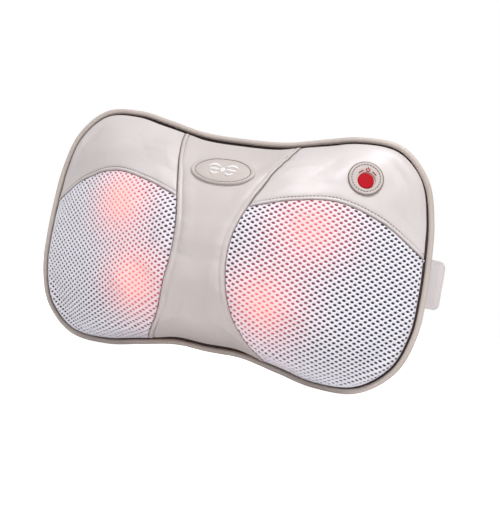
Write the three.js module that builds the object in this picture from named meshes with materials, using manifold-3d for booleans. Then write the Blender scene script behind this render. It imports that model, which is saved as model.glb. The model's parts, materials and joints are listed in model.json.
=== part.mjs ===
// A shiatsu neck massage pillow: a butterfly-shaped padded cover with two mesh windows,
// and inside it a geared motor that turns two pairs of heated massage nodes.
// Millimetres. X is to the right, Y to the back, Z up. The pillow is upright, and the origin
// is level with its two lower lobes, below the middle of the bounding box.
import * as THREE from 'three';
import { mergeVertices } from 'three/addons/utils/BufferGeometryUtils.js';
import Module from 'manifold-3d';

const wasm = await Module();
wasm.setup();

// ---------------------------------------------------------------- driving dimensions
// Half of the cover's seam, right side, as [x, height above the hub], from top to bottom.
const SEAM_HALF = [
  [0, 101.5], [37, 102.9], [70.2, 109.5], [97.9, 114.4], [129.2, 111.3], [150.7, 90.5], [160.2, 60.2],
  [163.4, 28.1], [164.2, 0], [162.4, -28.4], [152.1, -56.3], [127.5, -75.9], [92.9, -78.5], [62.2, -73.1],
  [29.8, -67.3], [0, -67.7],
];
const PIPING_RADIUS = 2.3;
const PIPING_GAP = 0.5;
const PIPING_OFFSET = PIPING_GAP + PIPING_RADIUS;
const PIPING_STEPS = 84;
const PIPING_SIDES = 6;

const COVER_BULGE = 59;          // how far the front stands out from the seam, at the hub
const COVER_CROWN = 1.8;         // exponents of the bulge's profile from hub to seam
const COVER_SHOULDER = 0.69;
const COVER_SIDE_DROP = 0.42;    // share of the bulge lost at the full half width
const COVER_HALF_WIDTH = 165;
const COVER_THICKNESS = 3;
const GUSSET_DEPTH = 50;         // front seam to rear seam
const REAR_INSET = 9;            // how far the rear seam lies inside the front seam
const GUSSET_OUT = 3;            // gusset skin, outside the seam line
const GUSSET_THICKNESS = 3;
const BACK_THICKNESS = 3;

// Cover panel seams, as [x, height above the hub] on the right half.
const CORNER = [30, 48];
const BAND_TOP_ANGLE = 26.1;     // degrees from straight up, where seams meet the piping
const UPPER_SHOULDER_ANGLE = 57;
const MESH_OUTER_ANGLE = 79.5;
const MESH_LOWER_ANGLE = 112;
const BAND_BOTTOM_ANGLE = 143.5;
const MESH_TOP_SEAM = [[60, 57.5], [95, 62.8], [130, 52.5]];
const BAND_SIDE_SEAM = [[23.8, 24], [22.8, 7], [24.6, -10], [33.5, -44]];

// Drive train. Every gear axis runs along Y; the worm runs along Z.
const ROTOR_HEIGHT = 7.4;        // above the hub
const GEAR_MODULE = 1.6;
const PINION_TEETH = 12;
const OUTPUT_TEETH = 48;
const WORM_MODULE = 0.8;
const WHEEL_TEETH = 36;
const WORM_PITCH_RADIUS = 5;
const WORM_Y = 14;
const PRESSURE_ANGLE = 25;
const BACKLASH = 0.5;
const WORM_HALF = 6.5;           // half length of the thread
const WORM_ROWS = 36;
const BUSH_HEIGHT = [20.2, 24.8];
const COMPOUND_X = WORM_PITCH_RADIUS + (WORM_MODULE * WHEEL_TEETH) / 2;
const ROTOR_X = COMPOUND_X + (GEAR_MODULE * (PINION_TEETH + OUTPUT_TEETH)) / 2;
const OUTPUT_Y = [2, 9];
const WHEEL_Y = [12, 16];

// Rotors.
const NODE_ORBIT = 34;
const NODE_RADIUS = 16;
const NODE_LEAN = 22;            // degrees, top of each pair leaning outwards
const ARM_Y = [-10, -5];
const NODE_BASE_Y = -10.3;

// Housings.
const HOUSING_INSET = 14;
const HOUSING_WALL = 2.5;
const FRONT_PLATE_Y = [-4, -1.3];
const TRAY_Y = [-1, 40];
const SCREWS = [[120, 76], [-120, 76], [134, -30], [-134, -30]];

// Motor, on the worm's axis.
const MOTOR_RADIUS = 14;
const MOTOR_TOP = -9;            // heights above the hub
const MOTOR_BOTTOM = -45;

// Power inlet in the bottom of the gusset, and the lead from it to the board.
const JACK_Y = 25;
const JACK_RADIUS = 5.5;
const JACK_HEIGHT = [-69.6, -58.6];
const LEAD_Y = 33;
const LEAD_RADIUS = 1.6;

// Power button, on the right upper panel.
const PATCH_AT = [111.3, 84.7];
const PATCH_RADIUS = 13;
const BUTTON_DROP = 2.4;         // button centre below the patch centre
const BUTTON_RADIUS = 6.4;
const BADGE_AT = [0, 72];
const BADGE_HALF = [27, 11];

// Back: straps and zipper.
const STRAP_BAND = [-6, 34];     // lowest and highest edge, above the hub
const STRAP_Y = [55.6, 57.1];
const ELASTIC_Y = [57.4, 59];
const ZIP_HEIGHT = -42;
const ZIP_HALF = 140;
const SLIDER_AT = 118;
const STRAP_LOOP = 172.6;        // farthest reach of the strap's middle line

const CLEARANCE = 0.3;
const FOAM_GAP = 5;              // between the foam ring and the facets of the cover

// ---------------------------------------------------------------- materials
function finish(hex, roughness, metalness = 0) {
  return new THREE.MeshStandardMaterial({ color: hex, roughness, metalness });
}
const LEATHER = finish(0xd9d2cd, 0.45);
const PIPING = finish(0xc9bdb6, 0.5);
const MESH = finish(0xe4e4ee, 0.9);
const LINING = finish(0xb9b2ad, 0.85);
const BADGE = finish(0xbfb8b1, 0.5);
const RED = finish(0xc8232d, 0.4);
const FOAM = finish(0xe9e2c8, 0.95);
const SHELL = finish(0x2c2d31, 0.6);
const GEAR = finish(0xf0efe8, 0.5);
const NODE = finish(0xd9473a, 0.35);
const STEEL = finish(0xb8bcc2, 0.3, 1);
const BRASS = finish(0xb59352, 0.35, 1);
const BOARD = finish(0x1f6b3f, 0.6);
const GLASS = finish(0xf3e6dc, 0.1);
const BLACK = finish(0x1c1c1e, 0.5);

// ---------------------------------------------------------------- the seam's outline
const seamLoop = [
  ...SEAM_HALF,
  ...SEAM_HALF.slice(1, -1).reverse().map(([x, z]) => [-x, z]),
];
const seamCurve = new THREE.CatmullRomCurve3(
  seamLoop.map(([x, z]) => new THREE.Vector3(x, z, 0)), true, 'centripetal');
seamCurve.arcLengthDivisions = 1600;

const RADIUS_SAMPLES = 1440;
const seamTable = seamCurve.getPoints(RADIUS_SAMPLES)
  .map((p) => [Math.atan2(p.x, p.y), Math.hypot(p.x, p.y)])
  .sort((a, b) => a[0] - b[0]);

// Distance from the hub to the seam, in the direction `angle` from straight up.
function seamRadius(angle) {
  const last = seamTable.length - 1;
  if (angle <= seamTable[0][0] || angle >= seamTable[last][0]) return seamTable[0][1];
  let low = 0;
  let high = last;
  while (high - low > 1) {
    const middle = (low + high) >> 1;
    if (seamTable[middle][0] <= angle) low = middle;
    else high = middle;
  }
  const [a0, r0] = seamTable[low];
  const [a1, r1] = seamTable[high];
  return r0 + (r1 - r0) * ((angle - a0) / Math.max(a1 - a0, 1e-9));
}

function seamAt(degrees) {
  const angle = THREE.MathUtils.degToRad(degrees);
  const radius = seamRadius(angle);
  return [radius * Math.sin(angle), radius * Math.cos(angle)];
}

// Points evenly spaced along the seam, moved outwards by `offset`.
function offsetSeam(offset, count, from = 0, to = 1) {
  const points = [];
  for (let i = 0; i < count; i += 1) {
    const t = (from + ((to - from) * i) / count + 1) % 1;
    const p = seamCurve.getPointAt(t);
    const d = seamCurve.getTangentAt(t);
    points.push([p.x - d.y * offset, p.y + d.x * offset]);
  }
  return points;
}

// Everything is laid out from the hub, and the hub's height puts the lowest piping on z = 0.
const PIPING_REACH = PIPING_OFFSET + PIPING_RADIUS;
const HUB_Z = -Math.min(...offsetSeam(PIPING_REACH, PIPING_STEPS).map((p) => p[1]));

// ---------------------------------------------------------------- the cover's surface
function bulgeAt(x, z) {
  const rho = Math.min(Math.hypot(x, z) / seamRadius(Math.atan2(x, z)), 1);
  const side = 1 - COVER_SIDE_DROP * (x / COVER_HALF_WIDTH) ** 2;
  return COVER_BULGE * side * (1 - rho ** COVER_CROWN) ** COVER_SHOULDER;
}

// A point of the cover, `depth` from 0 (outside) to 1 (inside).
function coverPoint(x, z, depth) {
  const rho = Math.min(Math.hypot(x, z) / seamRadius(Math.atan2(x, z)), 1);
  const radius = Math.max(Math.hypot(x, z), 1e-6);
  const shrink = 1 - (depth * COVER_THICKNESS * rho) / radius;
  const y = -bulgeAt(x, z) * (1 - (depth * COVER_THICKNESS) / COVER_BULGE);
  return new THREE.Vector3(x * shrink, y, HUB_Z + z * shrink);
}

function coverNormal(x, z) {
  const step = 0.5;
  const dx = (bulgeAt(x + step, z) - bulgeAt(x - step, z)) / (2 * step);
  const dz = (bulgeAt(x, z + step) - bulgeAt(x, z - step)) / (2 * step);
  return new THREE.Vector3(-dx, -1, -dz).normalize();
}

// ---------------------------------------------------------------- geometry helpers
// Moves every vertex of a geometry to where `place` puts it.
function warp(geometry, place) {
  const position = geometry.attributes.position;
  const v = new THREE.Vector3();
  for (let i = 0; i < position.count; i += 1) {
    v.fromBufferAttribute(position, i);
    const p = place(v);
    position.setXYZ(i, p.x, p.y, p.z);
  }
  geometry.computeVertexNormals();
  return geometry;
}

// A unit box, 0 to 1 each way, warped by place(u, v, w).
function warpedBox(nu, nv, nw, place) {
  const box = new THREE.BoxGeometry(1, 1, 1, nu, nv, nw);
  return warp(box, (p) => place(p.x + 0.5, p.y + 0.5, p.z + 0.5));
}

// A closed ring warped from a torus: `turn` goes round the ring, `section` round its tube.
function warpedRing(sides, steps, place) {
  const torus = new THREE.TorusGeometry(2, 1, sides, steps);
  return warp(torus, (p) => {
    const turn = (Math.atan2(p.y, p.x) / (2 * Math.PI) + 1) % 1;
    const section = Math.atan2(p.z, Math.hypot(p.x, p.y) - 2);
    return place(turn, section);
  });
}

function lathe(profile, segments) {
  return new THREE.LatheGeometry(profile.map(([r, h]) => new THREE.Vector2(r, h)), segments);
}

function solidRod(radius, from, to, segments) {
  return lathe([[0, from], [radius, from], [radius, to], [0, to]], segments);
}

function tubeRing(inner, outer, from, to, segments) {
  return lathe([[inner, from], [outer, from], [outer, to], [inner, to], [inner, from]], segments);
}

function shapeOf(points, holes = []) {
  const shape = new THREE.Shape(points.map(([x, z]) => new THREE.Vector2(x, z)));
  holes.forEach((hole) => shape.holes.push(
    new THREE.Path(hole.map(([x, z]) => new THREE.Vector2(x, z)))));
  return shape;
}

// Extrudes an outline of the XZ plane from yFront to yBack.
function plate(points, [yFront, yBack], holes = []) {
  const geometry = new THREE.ExtrudeGeometry(
    shapeOf(points, holes), { depth: yBack - yFront, bevelEnabled: false });
  geometry.rotateX(Math.PI / 2);
  geometry.translate(0, yBack, HUB_Z);
  return geometry;
}

function circle(cx, cz, radius, count) {
  return Array.from({ length: count }, (_, i) => {
    const a = (2 * Math.PI * i) / count;
    return [cx + radius * Math.cos(a), cz + radius * Math.sin(a)];
  });
}

function block([x0, x1], [y0, y1], [z0, z1]) {
  const box = new THREE.BoxGeometry(x1 - x0, y1 - y0, z1 - z0);
  box.translate((x0 + x1) / 2, (y0 + y1) / 2, HUB_Z + (z0 + z1) / 2);
  return box;
}

// Turns a lathe (axis Y) to stand at a place in the XZ plane, its axis along Y.
function along(geometry, x, z) {
  return geometry.translate(x, 0, HUB_Z + z);
}

// Turns a lathe (axis Y) upright, its axis along Z through (x, y).
function upright(geometry, x, y) {
  return geometry.rotateX(Math.PI / 2).translate(x, y, HUB_Z);
}

function toSolid(geometry) {
  const bare = geometry.clone();
  bare.deleteAttribute('normal');
  bare.deleteAttribute('uv');
  const merged = mergeVertices(bare, 1e-4);
  const index = merged.index.array;
  const kept = [];
  for (let i = 0; i < index.length; i += 3) {
    const [a, b, c] = [index[i], index[i + 1], index[i + 2]];
    if (a !== b && b !== c && c !== a) kept.push(a, b, c);
  }
  return new wasm.Manifold(new wasm.Mesh({
    numProp: 3,
    vertProperties: new Float32Array(merged.attributes.position.array),
    triVerts: new Uint32Array(kept),
  }));
}

function fromSolid(solid) {
  const mesh = solid.getMesh();
  const geometry = new THREE.BufferGeometry();
  const position = new THREE.BufferAttribute(new Float32Array(mesh.vertProperties), 3);
  geometry.setAttribute('position', position);
  geometry.setIndex(new THREE.BufferAttribute(new Uint32Array(mesh.triVerts), 1));
  geometry.computeVertexNormals();
  return geometry;
}

function combine(base, added = [], removed = []) {
  let solid = toSolid(base);
  added.forEach((g) => { solid = solid.add(toSolid(g)); });
  removed.forEach((g) => { solid = solid.subtract(toSolid(g)); });
  return fromSolid(solid);
}

const object = new THREE.Group();
object.name = 'neck_massager';

function part(name, geometry, material) {
  const mesh = new THREE.Mesh(geometry, material);
  mesh.name = name;
  object.add(mesh);
  return mesh;
}

const SIDES = [['left', -1], ['right', 1]];

// ---------------------------------------------------------------- front cover panels
function planeCurve(points) {
  const curve = new THREE.CatmullRomCurve3(
    points.map(([x, z]) => new THREE.Vector3(x, z, 0)), false, 'centripetal');
  return (t) => {
    const p = curve.getPointAt(THREE.MathUtils.clamp(t, 0, 1));
    return [p.x, p.y];
  };
}

function seamArc(fromDegrees, toDegrees) {
  return (t) => seamAt(fromDegrees + (toDegrees - fromDegrees) * t);
}

// Fills the patch between four boundary curves (Coons patch).
function coons(bottom, top, left, right) {
  const corners = [bottom(0), bottom(1), top(0), top(1)];
  return (u, v) => [0, 1].map((k) => {
    const ruled = (1 - v) * bottom(u)[k] + v * top(u)[k] + (1 - u) * left(v)[k] + u * right(v)[k];
    const lower = (1 - u) * corners[0][k] + u * corners[1][k];
    const upper = (1 - u) * corners[2][k] + u * corners[3][k];
    return ruled - (1 - v) * lower - v * upper;
  });
}

function coverPanel(patch, mirror, nu, nv, insetU, insetV) {
  return warpedBox(nu, nv, 1, (u, v, w) => {
    const [x, z] = patch(insetU + (1 - 2 * insetU) * u, insetV + (1 - 2 * insetV) * v);
    return coverPoint(mirror * x, z, 1 - w);
  });
}

// A mirrored patch would turn inside out, so its u runs the other way.
function mirrored(patch, side) {
  return side > 0 ? patch : (u, v) => patch(1 - u, v);
}

const bandTop = seamAt(BAND_TOP_ANGLE);
const bandBottom = seamAt(BAND_BOTTOM_ANGLE);
const bandSide = planeCurve([bandBottom, ...BAND_SIDE_SEAM.slice().reverse(), CORNER, bandTop]);
const meshSide = planeCurve([bandBottom, ...BAND_SIDE_SEAM.slice().reverse(), CORNER]);
const upperSide = planeCurve([CORNER, bandTop]);
const meshTop = planeCurve([CORNER, ...MESH_TOP_SEAM, seamAt(MESH_OUTER_ANGLE)]);

const bandPatch = coons(
  (t) => seamArc(BAND_BOTTOM_ANGLE, 180)(1 - Math.abs(2 * t - 1)).map(
    (c, k) => (k === 0 && t < 0.5 ? -c : c)),
  (t) => seamArc(-BAND_TOP_ANGLE, BAND_TOP_ANGLE)(t),
  (t) => bandSide(t).map((c, k) => (k === 0 ? -c : c)),
  bandSide);
const upperPatch = coons(
  meshTop, seamArc(BAND_TOP_ANGLE, UPPER_SHOULDER_ANGLE),
  upperSide, seamArc(MESH_OUTER_ANGLE, UPPER_SHOULDER_ANGLE));
const meshPatch = coons(
  seamArc(BAND_BOTTOM_ANGLE, MESH_LOWER_ANGLE), meshTop,
  meshSide, seamArc(MESH_LOWER_ANGLE, MESH_OUTER_ANGLE));

// Frame of the power button: its origin lies on the cover, its Y axis points outwards.
const buttonPlace = new THREE.Matrix4();
{
  const normal = coverNormal(...PATCH_AT);
  const spin = new THREE.Quaternion().setFromUnitVectors(new THREE.Vector3(0, 1, 0), normal);
  const origin = coverPoint(...PATCH_AT, 0);
  buttonPlace.compose(origin, spin, new THREE.Vector3(1, 1, 1));
}
// The way down the cover in that frame, which is where the button sits in the patch.
const downhill = new THREE.Vector3(0, 0, -1).applyMatrix4(
  new THREE.Matrix4().extractRotation(buttonPlace).invert());
const buttonAt = new THREE.Vector2(downhill.x, downhill.z).setLength(BUTTON_DROP);

function onButton(geometry) {
  return geometry.translate(buttonAt.x, 0, buttonAt.y).applyMatrix4(buttonPlace);
}

function frontCover() {
  part('front_center_band', coverPanel(bandPatch, 1, 8, 14, 0.004, 0.003), LEATHER);
  const patchHole = solidRod(PATCH_RADIUS + 0.5, -20, 20, 24).applyMatrix4(buttonPlace);
  SIDES.forEach(([name, side]) => {
    const upper = coverPanel(mirrored(upperPatch, side), side, 12, 5, 0.004, 0.009);
    const cut = side > 0 ? combine(upper, [], [patchHole]) : upper;
    part(`upper_${name}_panel`, cut, LEATHER);
    part(`${name}_mesh_panel`, coverPanel(mirrored(meshPatch, side), side, 12, 9, 0.004, 0.004), MESH);
  });
}

function badge() {
  const disc = lathe([[0, 0], [0.5, 0], [1, 0], [1, 1], [0.5, 1], [0, 1]], 24);
  const [low, high] = [0.5, 2.9];
  part('badge_plate', warp(disc, (p) => {
    const x = BADGE_AT[0] + BADGE_HALF[0] * p.x;
    const z = BADGE_AT[1] - BADGE_HALF[1] * p.z;
    return coverPoint(x, z, 0).addScaledVector(coverNormal(x, z), low + (high - low) * p.y);
  }), BADGE);
}

// ---------------------------------------------------------------- piping, gusset, back
function pipingRing(y) {
  const inset = (REAR_INSET * y) / GUSSET_DEPTH;
  const ring = offsetSeam(PIPING_OFFSET - inset, PIPING_STEPS);
  const reach = offsetSeam(PIPING_REACH - inset, PIPING_STEPS);
  return warpedRing(PIPING_SIDES, PIPING_STEPS, (turn, section) => {
    const i = Math.round(turn * PIPING_STEPS) % PIPING_STEPS;
    const out = [reach[i][0] - ring[i][0], reach[i][1] - ring[i][1]];
    const c = Math.cos(section);
    return new THREE.Vector3(
      ring[i][0] + out[0] * c, y + PIPING_RADIUS * Math.sin(section), HUB_Z + ring[i][1] + out[1] * c);
  });
}

function gussetStrip(from, to, steps) {
  const [y0, y1] = [PIPING_RADIUS + 0.5, GUSSET_DEPTH - PIPING_RADIUS - 0.5];
  const margin = 0.0006;
  const line = (offset) => offsetSeam(offset, steps, from + margin, to - margin)
    .concat(offsetSeam(offset, 1, to - margin, to));
  const skins = [GUSSET_OUT - GUSSET_THICKNESS, GUSSET_OUT];
  const fronts = skins.map(line);
  const rears = skins.map((offset) => line(offset - REAR_INSET));
  return warpedBox(steps, 2, 1, (u, v, w) => {
    const [i, skin] = [Math.round(u * steps), Math.round(w)];
    const [a, b] = [fronts[skin][i], rears[skin][i]];
    const y = y0 + (y1 - y0) * v;
    const share = y / GUSSET_DEPTH;
    return new THREE.Vector3(
      a[0] + (b[0] - a[0]) * share, y, HUB_Z + a[1] + (b[1] - a[1]) * share);
  });
}

// Fraction of the seam's length at which a direction from the hub is met.
function seamFraction(degrees) {
  const goal = THREE.MathUtils.degToRad(degrees);
  let best = 0;
  let least = Infinity;
  for (let i = 0; i < RADIUS_SAMPLES; i += 1) {
    const p = seamCurve.getPointAt(i / RADIUS_SAMPLES);
    const turn = Math.atan2(p.x, p.y) - goal;
    const miss = Math.abs(Math.atan2(Math.sin(turn), Math.cos(turn)));
    if (miss < least) {
      least = miss;
      best = i / RADIUS_SAMPLES;
    }
  }
  return best;
}

function shell() {
  part('front_piping', pipingRing(0), PIPING);
  part('rear_piping', pipingRing(GUSSET_DEPTH), PIPING);
  const upper = seamFraction(40);
  const lower = seamFraction(130);
  part('gusset_right', gussetStrip(upper, lower, 20), LEATHER);
  part('gusset_left', gussetStrip(1 - lower, 1 - upper, 20), LEATHER);
  part('gusset_top', gussetStrip(-upper, upper, 16), LEATHER);
  const jackHole = upright(solidRod(JACK_RADIUS + 0.4, -80, -60, 20), 0, JACK_Y);
  part('gusset_bottom', combine(gussetStrip(lower, 1 - lower, 14), [], [jackHole]), LEATHER);
}

function back() {
  const y = [GUSSET_DEPTH - BACK_THICKNESS, GUSSET_DEPTH];
  const outline = offsetSeam(-0.3 - REAR_INSET, 72);
  const half = 5.7;
  const wide = [-200, 200];
  const deep = [0, 100];
  const whole = plate(outline, y);
  const above = block(wide, deep, [ZIP_HEIGHT + half + CLEARANCE, 200]);
  const below = block(wide, deep, [-200, ZIP_HEIGHT - half - CLEARANCE]);
  part('back_upper_panel', fromSolid(toSolid(whole).intersect(toSolid(above))), LINING);
  part('back_lower_panel', fromSolid(toSolid(whole).intersect(toSolid(below))), LINING);
  const zipY = y[0] + 0.6;
  part('zipper_tape', block(
    [-ZIP_HALF, ZIP_HALF], [zipY, zipY + 1.2], [ZIP_HEIGHT - half, ZIP_HEIGHT + half]), LINING);
  part('zipper_coil', block(
    [-ZIP_HALF + 4, ZIP_HALF - 4], [zipY + 1.5, zipY + 2.9], [ZIP_HEIGHT - 2.2, ZIP_HEIGHT + 2.2]), BLACK);
  zipperSlider(zipY + 3.2);
}

function zipperSlider(y) {
  const height = ZIP_HEIGHT;
  const pivotY = y + 3.2;
  const base = block([SLIDER_AT - 5.5, SLIDER_AT + 5.5], [y, y + 1.9], [height - 4, height + 4]);
  const legs = [-3.2, 3.2].map((x) => block(
    [SLIDER_AT + x - 0.8, SLIDER_AT + x + 0.8], [y + 1, pivotY + 1.8], [height - 1.4, height + 1.4]));
  const bridge = block(
    [SLIDER_AT - 4, SLIDER_AT + 4], [pivotY + 1.3, pivotY + 2.3], [height - 1.4, height + 1.4]);
  part('zipper_slider', combine(base, [...legs, bridge]), STEEL);
  const tab = [
    [0.7, -3.4], [0.7, 3.4], [-8, 3.4], [-20, 4], [-23, 2.6], [-24, 0], [-23, -2.6], [-20, -4], [-8, -3.4],
  ];
  const outline = tab.map(([x, z]) => [SLIDER_AT + x, height + z]);
  const through = [pivotY - 2, pivotY + 2];
  const ring = block([SLIDER_AT - 5.4, SLIDER_AT - 0.8], through, [height - 2.1, height + 2.1]);
  const hang = block([SLIDER_AT - 20.4, SLIDER_AT - 18], through, [height - 1.2, height + 1.2]);
  part('zipper_pull', combine(plate(outline, [pivotY - 0.6, pivotY + 0.6]), [], [ring, hang]), STEEL);
}

function straps() {
  const halfWay = (STRAP_Y[0] + STRAP_Y[1]) / 2;
  const half = (STRAP_Y[1] - STRAP_Y[0]) / 2;
  // The webbing runs round the rear piping in a flat loop and goes back into the side.
  const pivotX = seamAt(90)[0] + PIPING_OFFSET - REAR_INSET;
  const [reachX, reachY] = [STRAP_LOOP - pivotX, halfWay - GUSSET_DEPTH];
  const middle = [[50, halfWay], [pivotX - 8, halfWay]];
  for (let degrees = 90; degrees >= -36; degrees -= 18) {
    const a = THREE.MathUtils.degToRad(degrees);
    middle.push([pivotX + reachX * Math.cos(a), GUSSET_DEPTH + reachY * Math.sin(a)]);
  }
  middle.push([pivotX + 8.6, GUSSET_DEPTH - 10], [pivotX + 6, GUSSET_DEPTH - 17]);
  const route = middle.map(([x, y]) => new THREE.Vector2(x, y));
  const side = (sign) => route.map((p, i) => {
    const before = route[Math.max(i - 1, 0)];
    const after = route[Math.min(i + 1, route.length - 1)];
    const d = after.clone().sub(before).normalize();
    return new THREE.Vector2(p.x - sign * half * d.y, p.y + sign * half * d.x);
  });
  const outline = [...side(-1), ...side(1).reverse()];
  SIDES.forEach(([name, sign]) => {
    const points = outline.map((p) => new THREE.Vector2(sign * p.x, p.y));
    const geometry = new THREE.ExtrudeGeometry(
      new THREE.Shape(points), { depth: STRAP_BAND[1] - STRAP_BAND[0], bevelEnabled: false });
    part(`strap_${name}`, geometry.translate(0, 0, HUB_Z + STRAP_BAND[0]), LEATHER);
  });
  part('strap_elastic', block([-72, 72], ELASTIC_Y, STRAP_BAND), LINING);
}

// ---------------------------------------------------------------- foam
function foam() {
  const corners = [[0.76, 'front'], [0.86, 'front'], [0.86, 'back'], [0.76, 'back']];
  const ring = warpedRing(4, 60, (turn, section) => {
    const angle = 2 * Math.PI * turn;
    const k = (Math.round(section / (Math.PI / 2)) + 4) % 4;
    const [rho, face] = corners[k];
    const wrapped = Math.atan2(Math.sin(angle), Math.cos(angle));
    const radius = rho * seamRadius(wrapped);
    const [x, z] = [radius * Math.sin(wrapped), radius * Math.cos(wrapped)];
    const inside = -bulgeAt(x, z) + COVER_THICKNESS + FOAM_GAP;
    return new THREE.Vector3(x, face === 'front' ? inside : FRONT_PLATE_Y[0] - 0.3, HUB_Z + z);
  });
  const switchHole = solidRod(11, -40, 20, 20).translate(buttonAt.x, 0, buttonAt.y)
    .applyMatrix4(buttonPlace);
  const screwWells = SCREWS.map(([x, z]) => along(solidRod(4.5, -12, 0, 10), x, z));
  part('foam_ring', combine(ring, [], [switchHole, ...screwWells]), FOAM);
  const padY = [TRAY_Y[1] + 0.5, GUSSET_DEPTH - BACK_THICKNESS - 0.5];
  part('back_foam', plate(offsetSeam(-6 - REAR_INSET, 40), padY), FOAM);
}

// ---------------------------------------------------------------- housings
function housings() {
  const outline = offsetSeam(-HOUSING_INSET, 44);
  const hubHoles = SIDES.map(([, side]) => circle(side * ROTOR_X, ROTOR_HEIGHT, 11, 20));
  const screwHoles = SCREWS.map(([x, z]) => circle(x, z, 2, 8));
  part('front_housing', plate(outline, FRONT_PLATE_Y, [...hubHoles, ...screwHoles]), SHELL);

  const floor = TRAY_Y[1] - HOUSING_WALL;
  const cavity = plate(offsetSeam(-HOUSING_INSET - HOUSING_WALL, 44), [TRAY_Y[0] - 5, floor]);
  const root = floor + 1;
  const added = [];
  const bores = [];
  SIDES.forEach(([, side]) => {
    added.push(along(solidRod(8, OUTPUT_Y[1] + 0.6, root, 16), side * ROTOR_X, ROTOR_HEIGHT));
    bores.push(along(solidRod(4.35, 0, 30.6, 16), side * ROTOR_X, ROTOR_HEIGHT));
    added.push(along(solidRod(5, WHEEL_Y[1] + 0.5, root, 12), side * COMPOUND_X, ROTOR_HEIGHT));
    bores.push(along(solidRod(2.35, 0, 30.6, 12), side * COMPOUND_X, ROTOR_HEIGHT));
  });
  SCREWS.forEach(([x, z]) => {
    added.push(along(solidRod(4, TRAY_Y[0], root, 10), x, z));
    bores.push(along(solidRod(1.9, TRAY_Y[0] - 1, 14, 8), x, z));
  });
  added.push(block([-7, 7], [WORM_Y - 6, root], BUSH_HEIGHT));
  bores.push(upright(solidRod(4.35, BUSH_HEIGHT[0] - 1, BUSH_HEIGHT[1] + 1, 16), 0, WORM_Y));
  bores.push(upright(solidRod(5, -60, -46, 12), 0, LEAD_Y - 2));
  const tray = combine(plate(outline, TRAY_Y), [], [cavity]);
  part('rear_housing', combine(tray, added, bores), SHELL);

  SCREWS.forEach(([x, z], i) => {
    const [head, under, tip] = [FRONT_PLATE_Y[0] - 2.4, FRONT_PLATE_Y[0] - 0.3, 12];
    const screw = lathe([[0, head], [3.2, head], [3.2, under], [1.5, under], [1.5, tip], [0, tip]], 8);
    part(`housing_screw_${i + 1}`, along(screw, x, z), STEEL);
  });
}

// ---------------------------------------------------------------- gears
// An involute gear outline centred on (0, 0); `phase` turns a tooth's centre line, in
// radians from +X towards +Z.
function gearOutline(teeth, module, phase, flank) {
  const pitch = (module * teeth) / 2;
  const base = pitch * Math.cos(THREE.MathUtils.degToRad(PRESSURE_ANGLE));
  const tip = pitch + 0.8 * module;
  const root = pitch - 1.1 * module;
  const involute = (radius) => {
    const a = Math.acos(Math.min(base / radius, 1));
    return Math.tan(a) - a;
  };
  const half = Math.PI / (2 * teeth) - BACKLASH / (2 * 2 * pitch);
  const halfAt = (radius) => half + involute(pitch) - involute(Math.max(radius, base));
  const radii = flank === 3 ? [root, pitch, tip] : [root, tip];
  const points = [];
  for (let i = 0; i < teeth; i += 1) {
    const centre = phase + (2 * Math.PI * i) / teeth;
    radii.forEach((r) => points.push([r, centre - halfAt(r)]));
    radii.slice().reverse().forEach((r) => points.push([r, centre + halfAt(r)]));
  }
  return points.map(([r, a]) => [r * Math.cos(a), r * Math.sin(a)]);
}

function movedTo(points, x, z) {
  return points.map(([a, b]) => [a + x, b + z]);
}

function gears() {
  SIDES.forEach(([name, side]) => {
    const x = side * COMPOUND_X;
    const pitchAngle = Math.PI / WHEEL_TEETH;
    // At the worm the right wheel shows a gap and the left wheel a tooth.
    const wheelPhase = side > 0 ? Math.PI + pitchAngle : 0;
    const wheel = plate(
      movedTo(gearOutline(WHEEL_TEETH, WORM_MODULE, wheelPhase, 2), x, ROTOR_HEIGHT), WHEEL_Y);
    // The pinion points a tooth at its output gear, which shows it a gap.
    const pinionPhase = side > 0 ? 0 : Math.PI;
    const pinion = plate(
      movedTo(gearOutline(PINION_TEETH, GEAR_MODULE, pinionPhase, 3), x, ROTOR_HEIGHT), OUTPUT_Y);
    const collar = along(solidRod(6, OUTPUT_Y[1] - 0.5, WHEEL_Y[0] + 0.5, 16), x, ROTOR_HEIGHT);
    const bore = along(solidRod(2.4, 0, 20, 14), x, ROTOR_HEIGHT);
    part(`${name}_compound_gear`, combine(pinion, [collar, wheel], [bore]), GEAR);
    part(`${name}_compound_pin`, along(solidRod(2, -0.9, 30, 12), x, ROTOR_HEIGHT), STEEL);

    const gapPhase = (side > 0 ? Math.PI : 0) + Math.PI / OUTPUT_TEETH;
    const web = plate(
      movedTo(gearOutline(OUTPUT_TEETH, GEAR_MODULE, gapPhase, 2), side * ROTOR_X, ROTOR_HEIGHT),
      OUTPUT_Y);
    const hub = along(solidRod(10, ARM_Y[1] + 0.3, OUTPUT_Y[0] + 0.5, 20), side * ROTOR_X, ROTOR_HEIGHT);
    const axleBore = along(solidRod(4.45, ARM_Y[1] - 1, 20, 16), side * ROTOR_X, ROTOR_HEIGHT);
    part(`${name}_output_gear`, combine(web, [hub], [axleBore]), GEAR);
    const axle = solidRod(4, ARM_Y[1] + 0.6, 30, 16);
    part(`${name}_rotor_axle`, along(axle, side * ROTOR_X, ROTOR_HEIGHT), STEEL);
    part(`${name}_brush_block`, block(
      [side * ROTOR_X - 6, side * ROTOR_X + 6], [OUTPUT_Y[1] + 0.4, TRAY_Y[1] - HOUSING_WALL - 0.3],
      [ROTOR_HEIGHT + 14, ROTOR_HEIGHT + 24]), BLACK);
  });
}

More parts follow.
